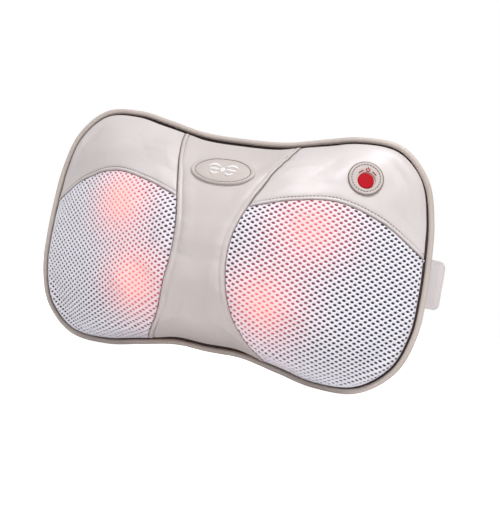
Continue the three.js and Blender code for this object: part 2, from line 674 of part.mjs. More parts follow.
// A single-start worm: its thread's crest passes +X at the rotors' height.
function worm() {
  const lead = Math.PI * WORM_MODULE;
  const [rootR, tipR] = [WORM_PITCH_RADIUS - 1.15 * WORM_MODULE, WORM_PITCH_RADIUS + 0.75 * WORM_MODULE];
  const [low, high] = [ROTOR_HEIGHT - WORM_HALF, ROTOR_HEIGHT + WORM_HALF];
  const rows = Array.from({ length: WORM_ROWS + 1 }, (_, i) => [
    rootR, low + ((high - low) * i) / WORM_ROWS]);
  const blank = lathe([
    [0, MOTOR_TOP - 8], [1.5, MOTOR_TOP - 8], [1.5, low - 1], [rootR, low - 1], ...rows,
    [rootR, high + 1], [1.5, high + 1], [1.5, BUSH_HEIGHT[1] + 0.8], [0, BUSH_HEIGHT[1] + 0.8],
  ], 12);
  // Raises the thread out of the blank: full height near the crest, none between crests.
  const cut = warp(blank, (p) => {
    const offset = p.y - ROTOR_HEIGHT;
    if (Math.hypot(p.x, p.z) < 2 || Math.abs(offset) > WORM_HALF - 0.01) return p;
    const turn = offset / lead - Math.atan2(-p.z, p.x) / (2 * Math.PI);
    const fromCrest = Math.abs(turn - Math.round(turn));
    const share = THREE.MathUtils.clamp((0.3 - fromCrest) / 0.18, 0, 1);
    const grow = (rootR + (tipR - rootR) * share) / rootR;
    return new THREE.Vector3(p.x * grow, p.y, p.z * grow);
  });
  part('motor_worm', upright(cut, 0, WORM_Y), BRASS);
  const bush = tubeRing(1.9, 4, BUSH_HEIGHT[0] + 0.2, BUSH_HEIGHT[1] - 0.2, 14);
  part('worm_bush', upright(bush, 0, WORM_Y), BRASS);
}

// ---------------------------------------------------------------- motor and electrics
function motor() {
  const r = MOTOR_RADIUS;
  const profile = [
    [0, MOTOR_BOTTOM], [5, MOTOR_BOTTOM], [5, MOTOR_BOTTOM + 1.5], [r - 1.5, MOTOR_BOTTOM + 1.5],
    [r, MOTOR_BOTTOM + 3], [r, MOTOR_TOP - 3], [r - 1.5, MOTOR_TOP - 1.5], [4.5, MOTOR_TOP - 1.5],
    [4.5, MOTOR_TOP], [1.9, MOTOR_TOP], [1.9, MOTOR_TOP - 10], [0, MOTOR_TOP - 10],
  ];
  part('motor_can', upright(lathe(profile, 18), 0, WORM_Y), STEEL);
  const seat = upright(solidRod(r + 0.35, MOTOR_BOTTOM - 5, MOTOR_TOP + 5, 24), 0, WORM_Y);
  const saddle = block([-12, 12], [WORM_Y + 5, TRAY_Y[1] - HOUSING_WALL - 0.3], [-34, -22]);
  part('motor_cradle', combine(saddle, [], [seat]), BLACK);
}

function electrics() {
  part('control_board', block([-26, 26], [29, 30.6], [36, 66]), BOARD);

  const [bottom, top] = JACK_HEIGHT;
  const jack = lathe([
    [0, top - 5], [3.2, top - 5], [3.2, bottom], [7.4, bottom], [7.4, bottom + 1.2],
    [JACK_RADIUS, bottom + 1.2], [JACK_RADIUS, top], [0, top],
  ], 16);
  part('dc_jack', upright(jack, 0, JACK_Y), BLACK);

  const route = [
    [0, JACK_Y, top + 0.5], [0, JACK_Y, top + 1.8], [0, 27.5, -54.4], [0, LEAD_Y - 1, -52.4],
    [0, LEAD_Y, -50], [2, LEAD_Y, -47.5],
    [12, LEAD_Y, -42], [21, LEAD_Y, -30], [30, LEAD_Y, -12], [31, LEAD_Y, 10], [28, LEAD_Y, 28],
    [21, 32.8, 42],
  ];
  const curve = new THREE.CatmullRomCurve3(
    route.map(([x, y, z]) => new THREE.Vector3(x, y, HUB_Z + z)), false, 'centripetal');
  const section = new THREE.Shape(circle(0, 0, LEAD_RADIUS, 6).map(([x, y]) => new THREE.Vector2(x, y)));
  part('power_lead', new THREE.ExtrudeGeometry(
    section, { steps: 26, extrudePath: curve, bevelEnabled: false }), BLACK);
}

// ---------------------------------------------------------------- rotors
function rotors() {
  const lean = THREE.MathUtils.degToRad(NODE_LEAN);
  SIDES.forEach(([name, side]) => {
    const direction = [side * Math.sin(lean), Math.cos(lean)];
    const centres = [1, -1].map((end) => [
      side * ROTOR_X + end * NODE_ORBIT * direction[0], ROTOR_HEIGHT + end * NODE_ORBIT * direction[1]]);
    const arm = [];
    const width = 12;
    [1, -1].forEach((end) => {
      const [cx, cz] = centres[end > 0 ? 0 : 1];
      const heading = Math.atan2(end * direction[1], end * direction[0]);
      for (let i = 0; i <= 8; i += 1) {
        const a = heading - Math.PI / 2 + (Math.PI * i) / 8;
        arm.push([cx + width * Math.cos(a), cz + width * Math.sin(a)]);
      }
    });
    part(`${name}_rotor_arm`, plate(arm, ARM_Y), SHELL);
    centres.forEach(([x, z], i) => {
      const place = i === 0 ? 'upper' : 'lower';
      part(`${name}_${place}_node`, along(nodeDome(), x, z), NODE);
      const lamp = lathe(
        [[0, -20], [2.8, -19.2], [4, -16.5], [4, NODE_BASE_Y], [0, NODE_BASE_Y]], 10);
      part(`${name}_${place}_lamp`, along(lamp, x, z), GLASS);
    });
  });
}

// A hollow dome whose open side lies on the arm.
function nodeDome() {
  const wall = 3;
  const arc = (radius, from, to, count) => Array.from({ length: count + 1 }, (_, i) => {
    const a = from + ((to - from) * i) / count;
    return [radius * Math.cos(a), NODE_BASE_Y - radius * Math.sin(a)];
  });
  const outer = arc(NODE_RADIUS, Math.PI / 2, 0, 5);
  const inner = arc(NODE_RADIUS - wall, 0, Math.PI / 2, 3);
  outer[0][0] = 0;
  inner[inner.length - 1][0] = 0;
  return lathe([...outer, ...inner], 18);
}

// ---------------------------------------------------------------- power button
function button() {
  const ring = circle(0, 0, PATCH_RADIUS, 24);
  // In the shape's plane y is minus the frame's z.
  const hole = circle(buttonAt.x, -buttonAt.y, BUTTON_RADIUS + 0.4, 18);
  const patch = new THREE.ExtrudeGeometry(shapeOf(ring, [hole]), { depth: 3.2, bevelEnabled: false });
  patch.rotateX(-Math.PI / 2).translate(0, -2.2, 0).applyMatrix4(buttonPlace);
  part('button_patch', patch, BADGE);

  const r = BUTTON_RADIUS;
  const press = lathe([
    [0, -9], [2, -9], [2, -2.2], [r, -2.2], [r, 1.2], [r - 0.8, 1.9], [0, 2.1],
  ], 18);
  part('power_button', onButton(press), RED);

  const cup = lathe([
    [0, -15.5], [9, -15.5], [9, -2.6], [7.4, -2.6], [7.4, -13.5], [0, -13.5],
  ], 18);
  part('switch_housing', onButton(cup), BLACK);

  const spring = new THREE.ExtrudeGeometry(
    new THREE.Shape(circle(0, 0, 0.5, 5).map(([x, y]) => new THREE.Vector2(x, y))),
    { steps: 40, bevelEnabled: false, extrudePath: new Coil(4.2, -12.9, -3.1, 4) });
  part('button_spring', onButton(spring), STEEL);
}

class Coil extends THREE.Curve {
  constructor(radius, from, to, turns) {
    super();
    Object.assign(this, { radius, from, to, turns });
  }

  getPoint(t, target = new THREE.Vector3()) {
    const a = 2 * Math.PI * this.turns * t;
    return target.set(
      this.radius * Math.cos(a), this.from + (this.to - this.from) * t, this.radius * Math.sin(a));
  }
}

frontCover();
badge();
shell();
back();
straps();
foam();
housings();
gears();
worm();
motor();
electrics();
rotors();
button();

export default object;
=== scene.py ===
"""The looks of a shiatsu neck massage pillow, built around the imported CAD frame.

Shapes are worked out in millimetres, with X to the right, Y to the back and heights measured
from the hub (the middle of the outline); new_mesh() turns them into metres in the row frame.
"""

import json
import math

import bpy
import bmesh
import numpy as np
from mathutils import Matrix, Vector


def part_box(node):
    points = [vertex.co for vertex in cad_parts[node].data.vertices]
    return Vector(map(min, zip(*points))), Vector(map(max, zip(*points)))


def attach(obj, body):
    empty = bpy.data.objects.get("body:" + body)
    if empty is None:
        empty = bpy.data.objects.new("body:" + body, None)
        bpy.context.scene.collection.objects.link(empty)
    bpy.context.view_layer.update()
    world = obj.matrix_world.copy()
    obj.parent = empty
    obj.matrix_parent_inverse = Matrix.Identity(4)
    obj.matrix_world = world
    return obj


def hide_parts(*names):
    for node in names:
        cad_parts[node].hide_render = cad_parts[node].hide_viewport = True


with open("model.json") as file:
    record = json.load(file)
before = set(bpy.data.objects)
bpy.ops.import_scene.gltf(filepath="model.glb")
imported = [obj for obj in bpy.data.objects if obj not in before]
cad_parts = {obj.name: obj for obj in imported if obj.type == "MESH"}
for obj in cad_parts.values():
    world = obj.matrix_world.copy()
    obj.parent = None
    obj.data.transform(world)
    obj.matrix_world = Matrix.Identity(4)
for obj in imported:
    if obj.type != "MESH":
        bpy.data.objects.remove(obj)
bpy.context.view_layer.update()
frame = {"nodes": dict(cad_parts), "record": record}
NODES = frame["nodes"]
MM = 0.001

# ---------------------------------------------------------------- driving dimensions, mm
SEAM_HALF = [
    (0, 101.5), (37, 102.9), (70.2, 109.5), (97.9, 114.4), (129.2, 111.3),
    (150.7, 90.5), (160.2, 60.2), (163.4, 28.1), (164.2, 0), (162.4, -28.4),
    (152.1, -56.3), (127.5, -75.9), (92.9, -78.5), (62.2, -73.1), (29.8, -67.3),
    (0, -67.7),
]
PIPING_RADIUS = 2.3
PIPING_OFFSET = 2.8           # from the seam to the piping's centre line
GUSSET_OFFSET = 3.0           # from the seam to the side panels' skin
REAR_Y = 50.0                 # the rear seam; the front seam is at y = 0
REAR_INSET = 9.0              # how far the rear seam lies inside the front seam
COVER_BULGE = 59.0
COVER_CROWN = 1.8
COVER_SHOULDER = 0.69
COVER_SIDE_DROP = 0.42
COVER_HALF_WIDTH = 165.0
COVER_THICKNESS = 1.3

CORNER = (30, 48)             # where band, upper panel and mesh meet
BAND_TOP_ANGLE = 26.1         # degrees from straight up, where seams meet the piping
UPPER_SHOULDER_ANGLE = 57.0
MESH_OUTER_ANGLE = 79.5
MESH_LOWER_ANGLE = 112.0
BAND_BOTTOM_ANGLE = 143.5
MESH_TOP_SEAM = [(60, 57.5), (95, 62.8), (130, 52.5)]
BAND_SIDE_SEAM = [(33.5, -44), (24.6, -10), (22.8, 7), (23.8, 24)]

ROTOR_HEIGHT = 7.4            # of the rotors' axes, above the hub
NODE_GLOW = {                 # how strongly each heated node shines through
    "left_upper": 1.05, "left_lower": 1.0, "right_upper": 0.85, "right_lower": 0.9,
}
BADGE_AT = (0, 72)
BADGE_HALF = (27, 11)
PATCH_AT = (111.3, 84.7)
PATCH_RADIUS = 13.0
BUTTON_RADIUS = 6.4
STRAP_EDGES = (-6, 34)
STRAP_REACH = 172.6           # farthest point of the strap's loop at the side
STRAP_Y = 56.35               # the strap's middle, behind the back
STRAP_THICK = 1.5
STRAP_CORNER = 5.0            # radius of the loop's corners
ZIP_HEIGHT = -42.0
ZIP_HALF = 136.0
ZIP_OPENING = 5.2             # from the zipper's middle to the cloth on each side
TAPE_HALF = 5.4
TAPE_END = 13.0               # how far the tape runs on past the teeth
TOOTH_PITCH = 1.9

HOLE_PITCH = 6.3              # mesh fabric: along a row, every other row half a step over
ROW_PITCH = 2.22
STITCH_PITCH = 2.9
STITCH_INSET = 2.8            # from the seam to its row of stitches
STITCH_LIFT = 0.12
PIPING_JOINT_X = -20.0        # where the piping's two ends meet, on the lower edge

axle_low, axle_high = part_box("right_rotor_axle")
HUB_Z = (axle_low.z + axle_high.z) / 2 / MM - ROTOR_HEIGHT
SIDES = (("left", -1), ("right", 1))


# ---------------------------------------------------------------- curves
def catmull_rom(points, closed=False, samples=24):
    """A centripetal Catmull-Rom curve through the points, as a dense polyline."""
    points = np.asarray(points, float)
    if closed:
        knots = np.vstack([points[-1], points, points[:2]])
    else:
        knots = np.vstack([2 * points[0] - points[1], points, 2 * points[-1] - points[-2]])
    w = np.arange(samples)[:, None] / samples
    stretches = []
    for p0, p1, p2, p3 in zip(knots, knots[1:], knots[2:], knots[3:]):
        d0, d1, d2 = (math.sqrt(np.linalg.norm(b - a)) for a, b in ((p0, p1), (p1, p2), (p2, p3)))
        m1 = ((p1 - p0) / d0 - (p2 - p0) / (d0 + d1) + (p2 - p1) / d1) * d1
        m2 = ((p2 - p1) / d1 - (p3 - p1) / (d1 + d2) + (p3 - p2) / d2) * d1
        c2 = 3 * (p2 - p1) - 2 * m1 - m2
        c3 = 2 * (p1 - p2) + m1 + m2
        stretches.append(p1 + w * (m1 + w * (c2 + w * c3)))
    end = points[:1] if closed else points[-1:]
    return np.vstack([*stretches, end])


class Line:
    """A polyline that is sampled by its share of arc length."""

    def __init__(self, points):
        self.points = np.asarray(points, float)
        steps = np.linalg.norm(np.diff(self.points, axis=0), axis=1)
        self.at = np.concatenate([[0], np.cumsum(steps)])
        self.length = self.at[-1]

    def __call__(self, t):
        s = np.clip(t, 0, 1) * self.length
        return np.stack([np.interp(s, self.at, column) for column in self.points.T], -1)


def smooth(t):
    t = np.clip(t, 0, 1)
    return t * t * (3 - 2 * t)


def unit(vectors):
    return vectors / np.linalg.norm(vectors, axis=-1, keepdims=True)


SEAM = Line(catmull_rom(SEAM_HALF + [(-x, z) for x, z in SEAM_HALF[-2:0:-1]], closed=True))
SEAM_ANGLES = np.arctan2(SEAM.points[:-1, 0], SEAM.points[:-1, 1])
SEAM_RADII = np.hypot(*SEAM.points[:-1].T)


def seam_radius(angle):
    return np.interp(angle, SEAM_ANGLES, SEAM_RADII, period=2 * math.pi)


def seam_arc(start, end):
    """The seam between two directions from the hub, in degrees, as a function of 0 to 1."""
    def point(t):
        angle = np.radians(start + (end - start) * np.clip(t, 0, 1))
        radius = seam_radius(angle)
        return np.stack([radius * np.sin(angle), radius * np.cos(angle)], -1)
    return point


def offset_seam(t, offset):
    """Points of the seam at shares t of its length, moved outwards."""
    step = 0.0008
    t = np.asarray(t, float)
    along = unit(SEAM((t + step) % 1) - SEAM((t - step) % 1))
    outwards = np.stack([-along[..., 1], along[..., 0]], -1)
    return SEAM(t % 1) + outwards * np.asarray(offset)[..., None], outwards


def inset_at(y):
    """How far the side has drawn in at depth y, on its way to the rear seam."""
    return REAR_INSET * y / REAR_Y


# ---------------------------------------------------------------- the cover's surface
def rho_of(x, z):
    return np.minimum(np.hypot(x, z) / seam_radius(np.arctan2(x, z)), 1)


def bulge(x, z):
    side = 1 - COVER_SIDE_DROP * (x / COVER_HALF_WIDTH) ** 2
    return COVER_BULGE * side * (1 - rho_of(x, z) ** COVER_CROWN) ** COVER_SHOULDER


def cover_normal(x, z):
    step = 0.4
    steepest = 5.0
    dx = (bulge(x + step, z) - bulge(x - step, z)) / (2 * step)
    dz = (bulge(x, z + step) - bulge(x, z - step)) / (2 * step)
    dx, dz = (np.clip(slope, -steepest, steepest) for slope in (dx, dz))
    return unit(np.stack([-dx, -np.ones_like(dx), -dz], -1))


def cover_point(x, z, lift=0.0):
    """A point of the cover, `lift` millimetres out along its normal, less near the seam."""
    x = np.asarray(x, float)
    z = np.asarray(z, float)
    near_seam = smooth((1 - rho_of(x, z)) / 0.03)
    height = np.where(np.asarray(lift) > 0, lift * near_seam, lift) + swell(x, z)
    base = np.stack([x, -bulge(x, z), z], -1)
    return base + cover_normal(x, z) * height[..., None]


# ---------------------------------------------------------------- meshes
def add_object(name, data):
    """A new object in the scene: of a mesh, a lamp or a lens, or an empty of None."""
    made = bpy.data.objects.new(name, data)
    bpy.context.scene.collection.objects.link(made)
    return made


def discard(piece):
    mesh = piece.data
    bpy.data.objects.remove(piece)
    bpy.data.meshes.remove(mesh)


def vertex_places(mesh):
    places = np.zeros(len(mesh.vertices) * 3)
    mesh.vertices.foreach_get("co", places)
    return places.reshape(-1, 3)


def new_mesh(name, points, faces, material, facing=None):
    """A mesh object. Points are in millimetres, heights from the hub; faces are a list or an array."""
    placed = (np.asarray(points, float).reshape(-1, 3) + (0, 0, HUB_Z)) * MM
    mesh = bpy.data.meshes.new(name)
    mesh.from_pydata(placed.tolist(), [], faces if isinstance(faces, list) else faces.tolist())
    mesh.polygons.foreach_set("use_smooth", [True] * len(mesh.polygons))
    if facing is not None:
        normals = np.zeros(len(mesh.polygons) * 3)
        mesh.polygons.foreach_get("normal", normals)
        if normals.reshape(-1, 3).mean(0) @ np.asarray(facing, float) < 0:
            mesh.flip_normals()
    mesh.materials.append(material)
    return add_object(name, mesh)


def grid_faces(rows, columns, wrap_rows=False, wrap_columns=False):
    i = np.arange(rows if wrap_rows else rows - 1)
    j = np.arange(columns if wrap_columns else columns - 1)
    i, j = (a.ravel() for a in np.meshgrid(i, j, indexing="ij"))
    i2, j2 = (i + 1) % rows, (j + 1) % columns
    return np.stack([i * columns + j, i2 * columns + j, i2 * columns + j2, i * columns + j2], -1)


def capped(faces, rows, columns):
    """Closes the first and the last ring of a grid of rings with one face each."""
    last = [(rows - 1) * columns + k for k in reversed(range(columns))]
    return faces.tolist() + [list(range(columns)), last]


def thicken(piece, millimetres):
    """Gives a sheet its thickness, on the side away from its normals."""
    solid = piece.modifiers.new("Thickness", "SOLIDIFY")
    solid.thickness = millimetres * MM
    solid.offset = -1
    return piece


def tube(name, centres, radius, material, sides=12, closed=False, outwards=None):
    """A tube along points; radius is one number or one for each point and side."""
    centres = np.asarray(centres, float)
    count = len(centres)
    if closed:
        along = np.roll(centres, -1, 0) - np.roll(centres, 1, 0)
    else:
        along = np.gradient(centres, axis=0)
    along = unit(along)
    if outwards is None:
        outwards = np.cross(along, (0, 1, 0))
    outwards = unit(outwards)
    across = np.cross(outwards, along)
    angle = 2 * math.pi * np.arange(sides) / sides
    radius = np.broadcast_to(np.asarray(radius, float), (count, sides))
    points = centres[:, None] + radius[..., None] * (
        np.cos(angle)[:, None] * outwards[:, None] + np.sin(angle)[:, None] * across[:, None])
    faces = grid_faces(count, sides, wrap_rows=closed, wrap_columns=True)
    if not closed:
        faces = capped(faces, count, sides)
    piece = new_mesh(name, points, faces, material)
    tidy_normals(piece)
    return piece


def tidy_normals(piece):
    shape = bmesh.new()
    shape.from_mesh(piece.data)
    bmesh.ops.recalc_face_normals(shape, faces=shape.faces)
    for face in shape.faces:
        face.smooth = True
    shape.to_mesh(piece.data)
    shape.free()


def join(name, pieces):
    """Joins pieces of one material into one object, with its points in place."""
    shape = bmesh.new()
    for piece in pieces:
        shape.from_mesh(piece.data)
    mesh = bpy.data.meshes.new(name)
    shape.to_mesh(mesh)
    shape.free()
    mesh.materials.append(pieces[0].data.materials[0])
    for piece in pieces:
        discard(piece)
    return add_object(name, mesh)


def on_cushion(piece, node=None):
    """Hides the CAD node a piece stands for, if one is given, and attaches the piece to the cushion body.
    """
    if node:
        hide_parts(node)
    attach(piece, "cushion")


# ---------------------------------------------------------------- material helpers
class Shader:
    """A Principled material and short ways to add nodes to it."""

    def __init__(self, name, **values):
        self.material = bpy.data.materials.new(name)
        self.material.use_nodes = True
        self.tree = self.material.node_tree
        self.principled = self.tree.nodes["Principled BSDF"]
        for socket, value in values.items():
            self.principled.inputs[socket.replace("_", " ")].default_value = value
        self.place = self.node("ShaderNodeTexCoord").outputs["Object"]

    def node(self, kind, inputs=(), **settings):
        made = self.tree.nodes.new(kind)
        for key, value in settings.items():
            setattr(made, key, value)
        for key, value in dict(inputs).items():
            if isinstance(value, bpy.types.NodeSocket):
                self.tree.links.new(value, made.inputs[key])
            else:
                made.inputs[key].default_value = value
        return made

    def noise(self, scale, detail=3.0, roughness=0.55, place=None):
        return self.node("ShaderNodeTexNoise", {
            "Vector": place or self.place, "Scale": scale, "Detail": detail,
            "Roughness": roughness}).outputs["Fac"]

    def cells(self, scale, feature="DISTANCE_TO_EDGE"):
        made = self.node("ShaderNodeTexVoronoi", {"Vector": self.place, "Scale": scale},
                         feature=feature)
        return made.outputs["Distance"]

    def maths(self, operation, a, b=0.0):
        return self.node("ShaderNodeMath", {0: a, 1: b}, operation=operation).outputs[0]

    def between(self, value, low, high, start=0.0, end=1.0):
        return self.node("ShaderNodeMapRange", {
            "Value": value, "From Min": start, "From Max": end, "To Min": low,
            "To Max": high}).outputs[0]

    def mix(self, factor, first, second):
        made = self.node("ShaderNodeMix", {0: factor, 6: first, 7: second}, data_type="RGBA")
        return made.outputs[2]

    def ramp(self, value, first, last):
        made = self.node("ShaderNodeValToRGB", {"Fac": value})
        made.color_ramp.elements[0].color = first
        made.color_ramp.elements[1].color = last
        return made.outputs["Color"]

    def set(self, socket, value):
        self.tree.links.new(value, self.principled.inputs[socket])

    def bump(self, *layers):
        """Adds (height, strength, distance in metres) layers of bump, one over another."""
        normal = None
        for height, strength, distance in layers:
            inputs = {"Height": height, "Strength": strength, "Distance": distance}
            if normal is not None:
                inputs["Normal"] = normal
            normal = self.node("ShaderNodeBump", inputs).outputs["Normal"]
        self.set("Normal", normal)


def srgb(red, green, blue):
    """A colour as seen on a screen, 0 to 255, as linear RGBA."""
    def linear(value):
        value /= 255
        return value / 12.92 if value <= 0.04045 else ((value + 0.055) / 1.055) ** 2.4
    return (linear(red), linear(green), linear(blue), 1.0)


def dimmed(colour, share):
    return tuple(c * share for c in colour[:3]) + (1.0,)


def leather(name, colour, shade, roughness=0.42, grain=1.0):
    """Soft coated leather: pebbled grain, fine pores, and slow changes of tone."""
    shader = Shader(name, Specular_IOR_Level=0.5, Sheen_Weight=0.1, Sheen_Roughness=0.4,
                    Coat_Weight=0.22, Coat_Roughness=0.36)
    slow = shader.noise(16, 2)
    fine = shader.noise(900, 2)
    pebbles = shader.cells(900)
    tone = shader.between(slow, 0.0, 0.55, 0.35, 0.7)
    base = shader.mix(tone, colour, shade)
    speck = shader.between(fine, 0.0, 0.16, 0.35, 0.75)
    shader.set("Base Color", shader.mix(speck, base, shade))
    shader.set("Roughness", shader.between(fine, roughness - 0.06, roughness + 0.1, 0.3, 0.7))
    creases = shader.noise(55, 3)
    shader.bump((creases, 0.3, 0.0008), (pebbles, 0.22 * grain, 0.00022), (fine, 0.1, 0.0001))
    return shader.material


def moulded(name, colour, roughness=0.5, speckle=420.0, gloss=0.5):
    """Moulded plastic with a fine spark-eroded texture."""
    shader = Shader(name, Specular_IOR_Level=gloss)
    fine = shader.noise(speckle, 3)
    slow = shader.noise(25, 2)
    darker = dimmed(colour, 0.8)
    shader.set("Base Color", shader.mix(shader.between(slow, 0, 0.6, 0.3, 0.7), colour, darker))
    shader.set("Roughness", shader.between(fine, roughness - 0.08, roughness + 0.08, 0.3, 0.7))
    shader.bump((fine, 0.12, 0.0001))
    return shader.material


def metal(name, colour, roughness=0.28, brushed=(40, 900, 900)):
    """Metal with fine drawn lines and slightly stained low spots."""
    shader = Shader(name, Metallic=1.0)
    stretched = shader.node("ShaderNodeMapping", {"Vector": shader.place, "Scale": brushed})
    lines = shader.noise(1.0, 3, place=stretched.outputs[0])
    stain = shader.noise(60, 3)
    darker = dimmed(colour, 0.6)
    shader.set("Base Color", shader.mix(shader.between(stain, 0, 0.5, 0.45, 0.8), colour, darker))
    shader.set("Roughness", shader.between(lines, roughness - 0.08, roughness + 0.14, 0.3, 0.7))
    shader.bump((lines, 0.08, 0.00005))
    return shader.material


def woven(name, colour, shade, threads=1500.0, sheen=0.2):
    """Plain woven cloth: two crossed sets of ribs and a little fuzz."""
    shader = Shader(name, Sheen_Weight=sheen, Specular_IOR_Level=0.3)
    ribs = []
    for direction in ("X", "Z"):
        wave = shader.node("ShaderNodeTexWave", {
            "Vector": shader.place, "Scale": threads / 6.2832, "Distortion": 0.6,
            "Detail": 2.0, "Detail Scale": 3.0}, bands_direction=direction)
        ribs.append(wave.outputs["Fac"])
    weave = shader.maths("MULTIPLY", ribs[0], ribs[1])
    fuzz = shader.noise(1300, 3)
    tone = shader.maths("ADD", shader.between(weave, 0.55, 0.0), shader.between(fuzz, 0, 0.3))
    shader.set("Base Color", shader.mix(tone, colour, shade))
    shader.set("Roughness", shader.between(fuzz, 0.75, 0.95))
    shader.bump((weave, 0.5, 0.0003), (fuzz, 0.15, 0.0001))
    return shader.material


def foam_material():
    shader = Shader("foam", Specular_IOR_Level=0.2, Subsurface_Weight=0.15)
    pores = shader.cells(700, "F1")
    fine = shader.noise(1400, 2)
    shader.set("Base Color", shader.mix(pores, srgb(222, 208, 160), srgb(244, 238, 215)))
    shader.set("Roughness", shader.between(fine, 0.85, 1.0))
    shader.bump((pores, 0.5, 0.0004), (fine, 0.2, 0.0001))
    return shader.material


def glow(shader, reach):
    """How near a point is to the heated nodes, 0 to about 1. It turns with the rotors."""
    total = None
    for name, strength in NODE_GLOW.items():
        seen = shader.node("ShaderNodeTexCoord", object=GLOW_POINTS[name]).outputs["Object"]
        flat = shader.node("ShaderNodeVectorMath", {0: seen, 1: (1, 0, 1)}, operation="MULTIPLY")
        far = shader.node("ShaderNodeVectorMath", {0: flat.outputs[0]}, operation="LENGTH")
        share = shader.maths("DIVIDE", far.outputs["Value"], reach)
        fall = shader.maths("POWER", share, 2.1)
        bell = shader.maths("EXPONENT", shader.maths("MULTIPLY", fall, -1.0))
        lit = shader.maths("MULTIPLY", bell, strength)
        total = lit if total is None else shader.maths("ADD", total, lit)
    return total


def mesh_thread_material():
    """White knitted threads with painted glow round the heated nodes: their base colour and emission go
    pink, then peach.
    """
    shader = Shader("mesh_thread", Sheen_Weight=0.25, Specular_IOR_Level=0.35)
    painted_glow = glow(shader, 0.0275)
    fibre = shader.noise(1700, 2)
    blot = shader.noise(30, 2)
    white = shader.mix(shader.between(fibre, 0, 0.6, 0.3, 0.7), srgb(251, 248, 254),
                       srgb(217, 213, 227))
    # painted light: the threads' base colour turns pink where the nodes' glow falls
    base = shader.mix(shader.between(painted_glow, 0, 0.8), white, srgb(255, 212, 214))
    shader.set("Base Color", base)
    shader.set("Emission Color", shader.ramp(painted_glow, srgb(255, 150, 165), srgb(255, 170, 140)))
    patchy = shader.between(blot, 0.75, 1.2, 0.3, 0.7)
    shader.set("Emission Strength", shader.maths(
        "MULTIPLY", patchy, shader.between(painted_glow, 0, 0.17)))
    shader.set("Roughness", shader.between(fibre, 0.65, 0.9))
    shader.bump((fibre, 0.35, 0.00025))
    return shader.material


def shade_backing_material():
    """A dark sheet behind the mesh, standing in for the shade inside, with painted red glow over the
    heated nodes.
    """
    shader = Shader("mesh_shade_backing", Specular_IOR_Level=0.2)
    painted_glow = glow(shader, 0.0285)
    weave = shader.noise(1100, 3)
    shader.set("Base Color", shader.mix(weave, srgb(58, 54, 68), srgb(84, 78, 94)))
    shader.set("Emission Color", shader.ramp(painted_glow, srgb(232, 92, 128), srgb(252, 138, 130)))
    shader.set("Emission Strength", shader.between(painted_glow, 0, 1.05))
    shader.set("Roughness", shader.between(weave, 0.8, 1.0))
    shader.bump((weave, 0.3, 0.0002))
    return shader.material


def glowing_plastic(name, colour, light, strength):
    """Translucent plastic that shines by emission: the lamp's own glass, and the nodes' plastic, whose
    glow is painted light from the lamp inside; it varies in random clouds.
    """
    shader = Shader(name, Subsurface_Weight=0.3, Roughness=0.32, Coat_Weight=0.2)
    cloud = shader.noise(60, 3)
    shader.set("Base Color", shader.mix(cloud, colour, dimmed(colour, 0.7)))
    shader.principled.inputs["Emission Color"].default_value = light
    shader.set("Emission Strength", shader.between(cloud, strength * 0.7, strength * 1.2))
    shader.bump((shader.noise(700, 2), 0.08, 0.0001))
    return shader.material


def circuit_board_material():
    shader = Shader("circuit_board", Coat_Weight=0.3, Roughness=0.4)
    tracks = shader.node("ShaderNodeTexBrick", {
        "Vector": shader.place, "Scale": 160.0, "Mortar Size": 0.035,
        "Color1": srgb(22, 96, 52), "Color2": srgb(30, 112, 60), "Mortar": srgb(178, 158, 74)})
    shader.set("Base Color", tracks.outputs["Color"])
    shader.bump((tracks.outputs["Fac"], 0.3, 0.0001))
    return shader.material


# ---------------------------------------------------------------- glow anchors
def glow_points():
    """Empties at the heated nodes, riding on the rotors, that the glow is measured from."""
    points = {}
    for name in NODE_GLOW:
        low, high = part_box(f"{name}_node")
        empty = add_object(f"glow_{name}", None)
        empty.location = (low + high) / 2
        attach(empty, name.split("_")[0] + "_rotor")
        points[name] = empty
    return points


GLOW_POINTS = glow_points()
LEATHER = leather("cover_leather", srgb(224, 216, 216), srgb(206, 196, 195))
BAND_LEATHER = leather("band_leather", srgb(214, 205, 203), srgb(197, 187, 184))
PIPING = leather("piping_leather", srgb(206, 194, 187), srgb(184, 170, 162), 0.45, 0.7)
PATCH_LEATHER = leather("patch_leather", srgb(206, 195, 190), srgb(190, 178, 173), 0.5, 1.2)
# painted shade: a dark colour for the strips in the piping grooves, standing in for the crevice's shadow
GROOVE_SHADE = leather("groove_shade_tape", srgb(70, 52, 46), srgb(50, 36, 32), 0.7)
# painted shade: a dark colour for cords laid in seam grooves, standing in for their shadow
SEAM_SHADE = leather("seam_shade_cord", srgb(132, 116, 112), srgb(108, 94, 91), 0.7)
THREAD = woven("sewing_thread", srgb(124, 110, 106), srgb(98, 86, 83), 3000)
DARK_THREAD = woven("dark_thread", srgb(104, 92, 88), srgb(70, 60, 58), 3000)
LINING = woven("back_cloth", srgb(190, 181, 174), srgb(150, 141, 135))
ELASTIC = woven("elastic_web", srgb(206, 198, 192), srgb(150, 142, 137), 900)
MESH_THREAD = mesh_thread_material()
SHADE_BACKING = shade_backing_material()
WHITE_PRINT = moulded("white_print", srgb(255, 255, 255), 0.5)
RED_PRINT = moulded("red_print", srgb(176, 8, 26), 0.6, gloss=0.1)
RED_BUTTON = moulded("red_button", srgb(186, 18, 32), 0.6, gloss=0.12)
FOAM = foam_material()
COIL = moulded("zipper_coil", srgb(172, 163, 157), 0.4)


# ---------------------------------------------------------------- cloth simulation
SIM_RINGS = 30
SIM_TURNS = 120
SIM_FRAMES = 20
SWELL_CAP = (-0.8, 2.2)
swell_table = np.zeros((SIM_RINGS + 1, SIM_TURNS))


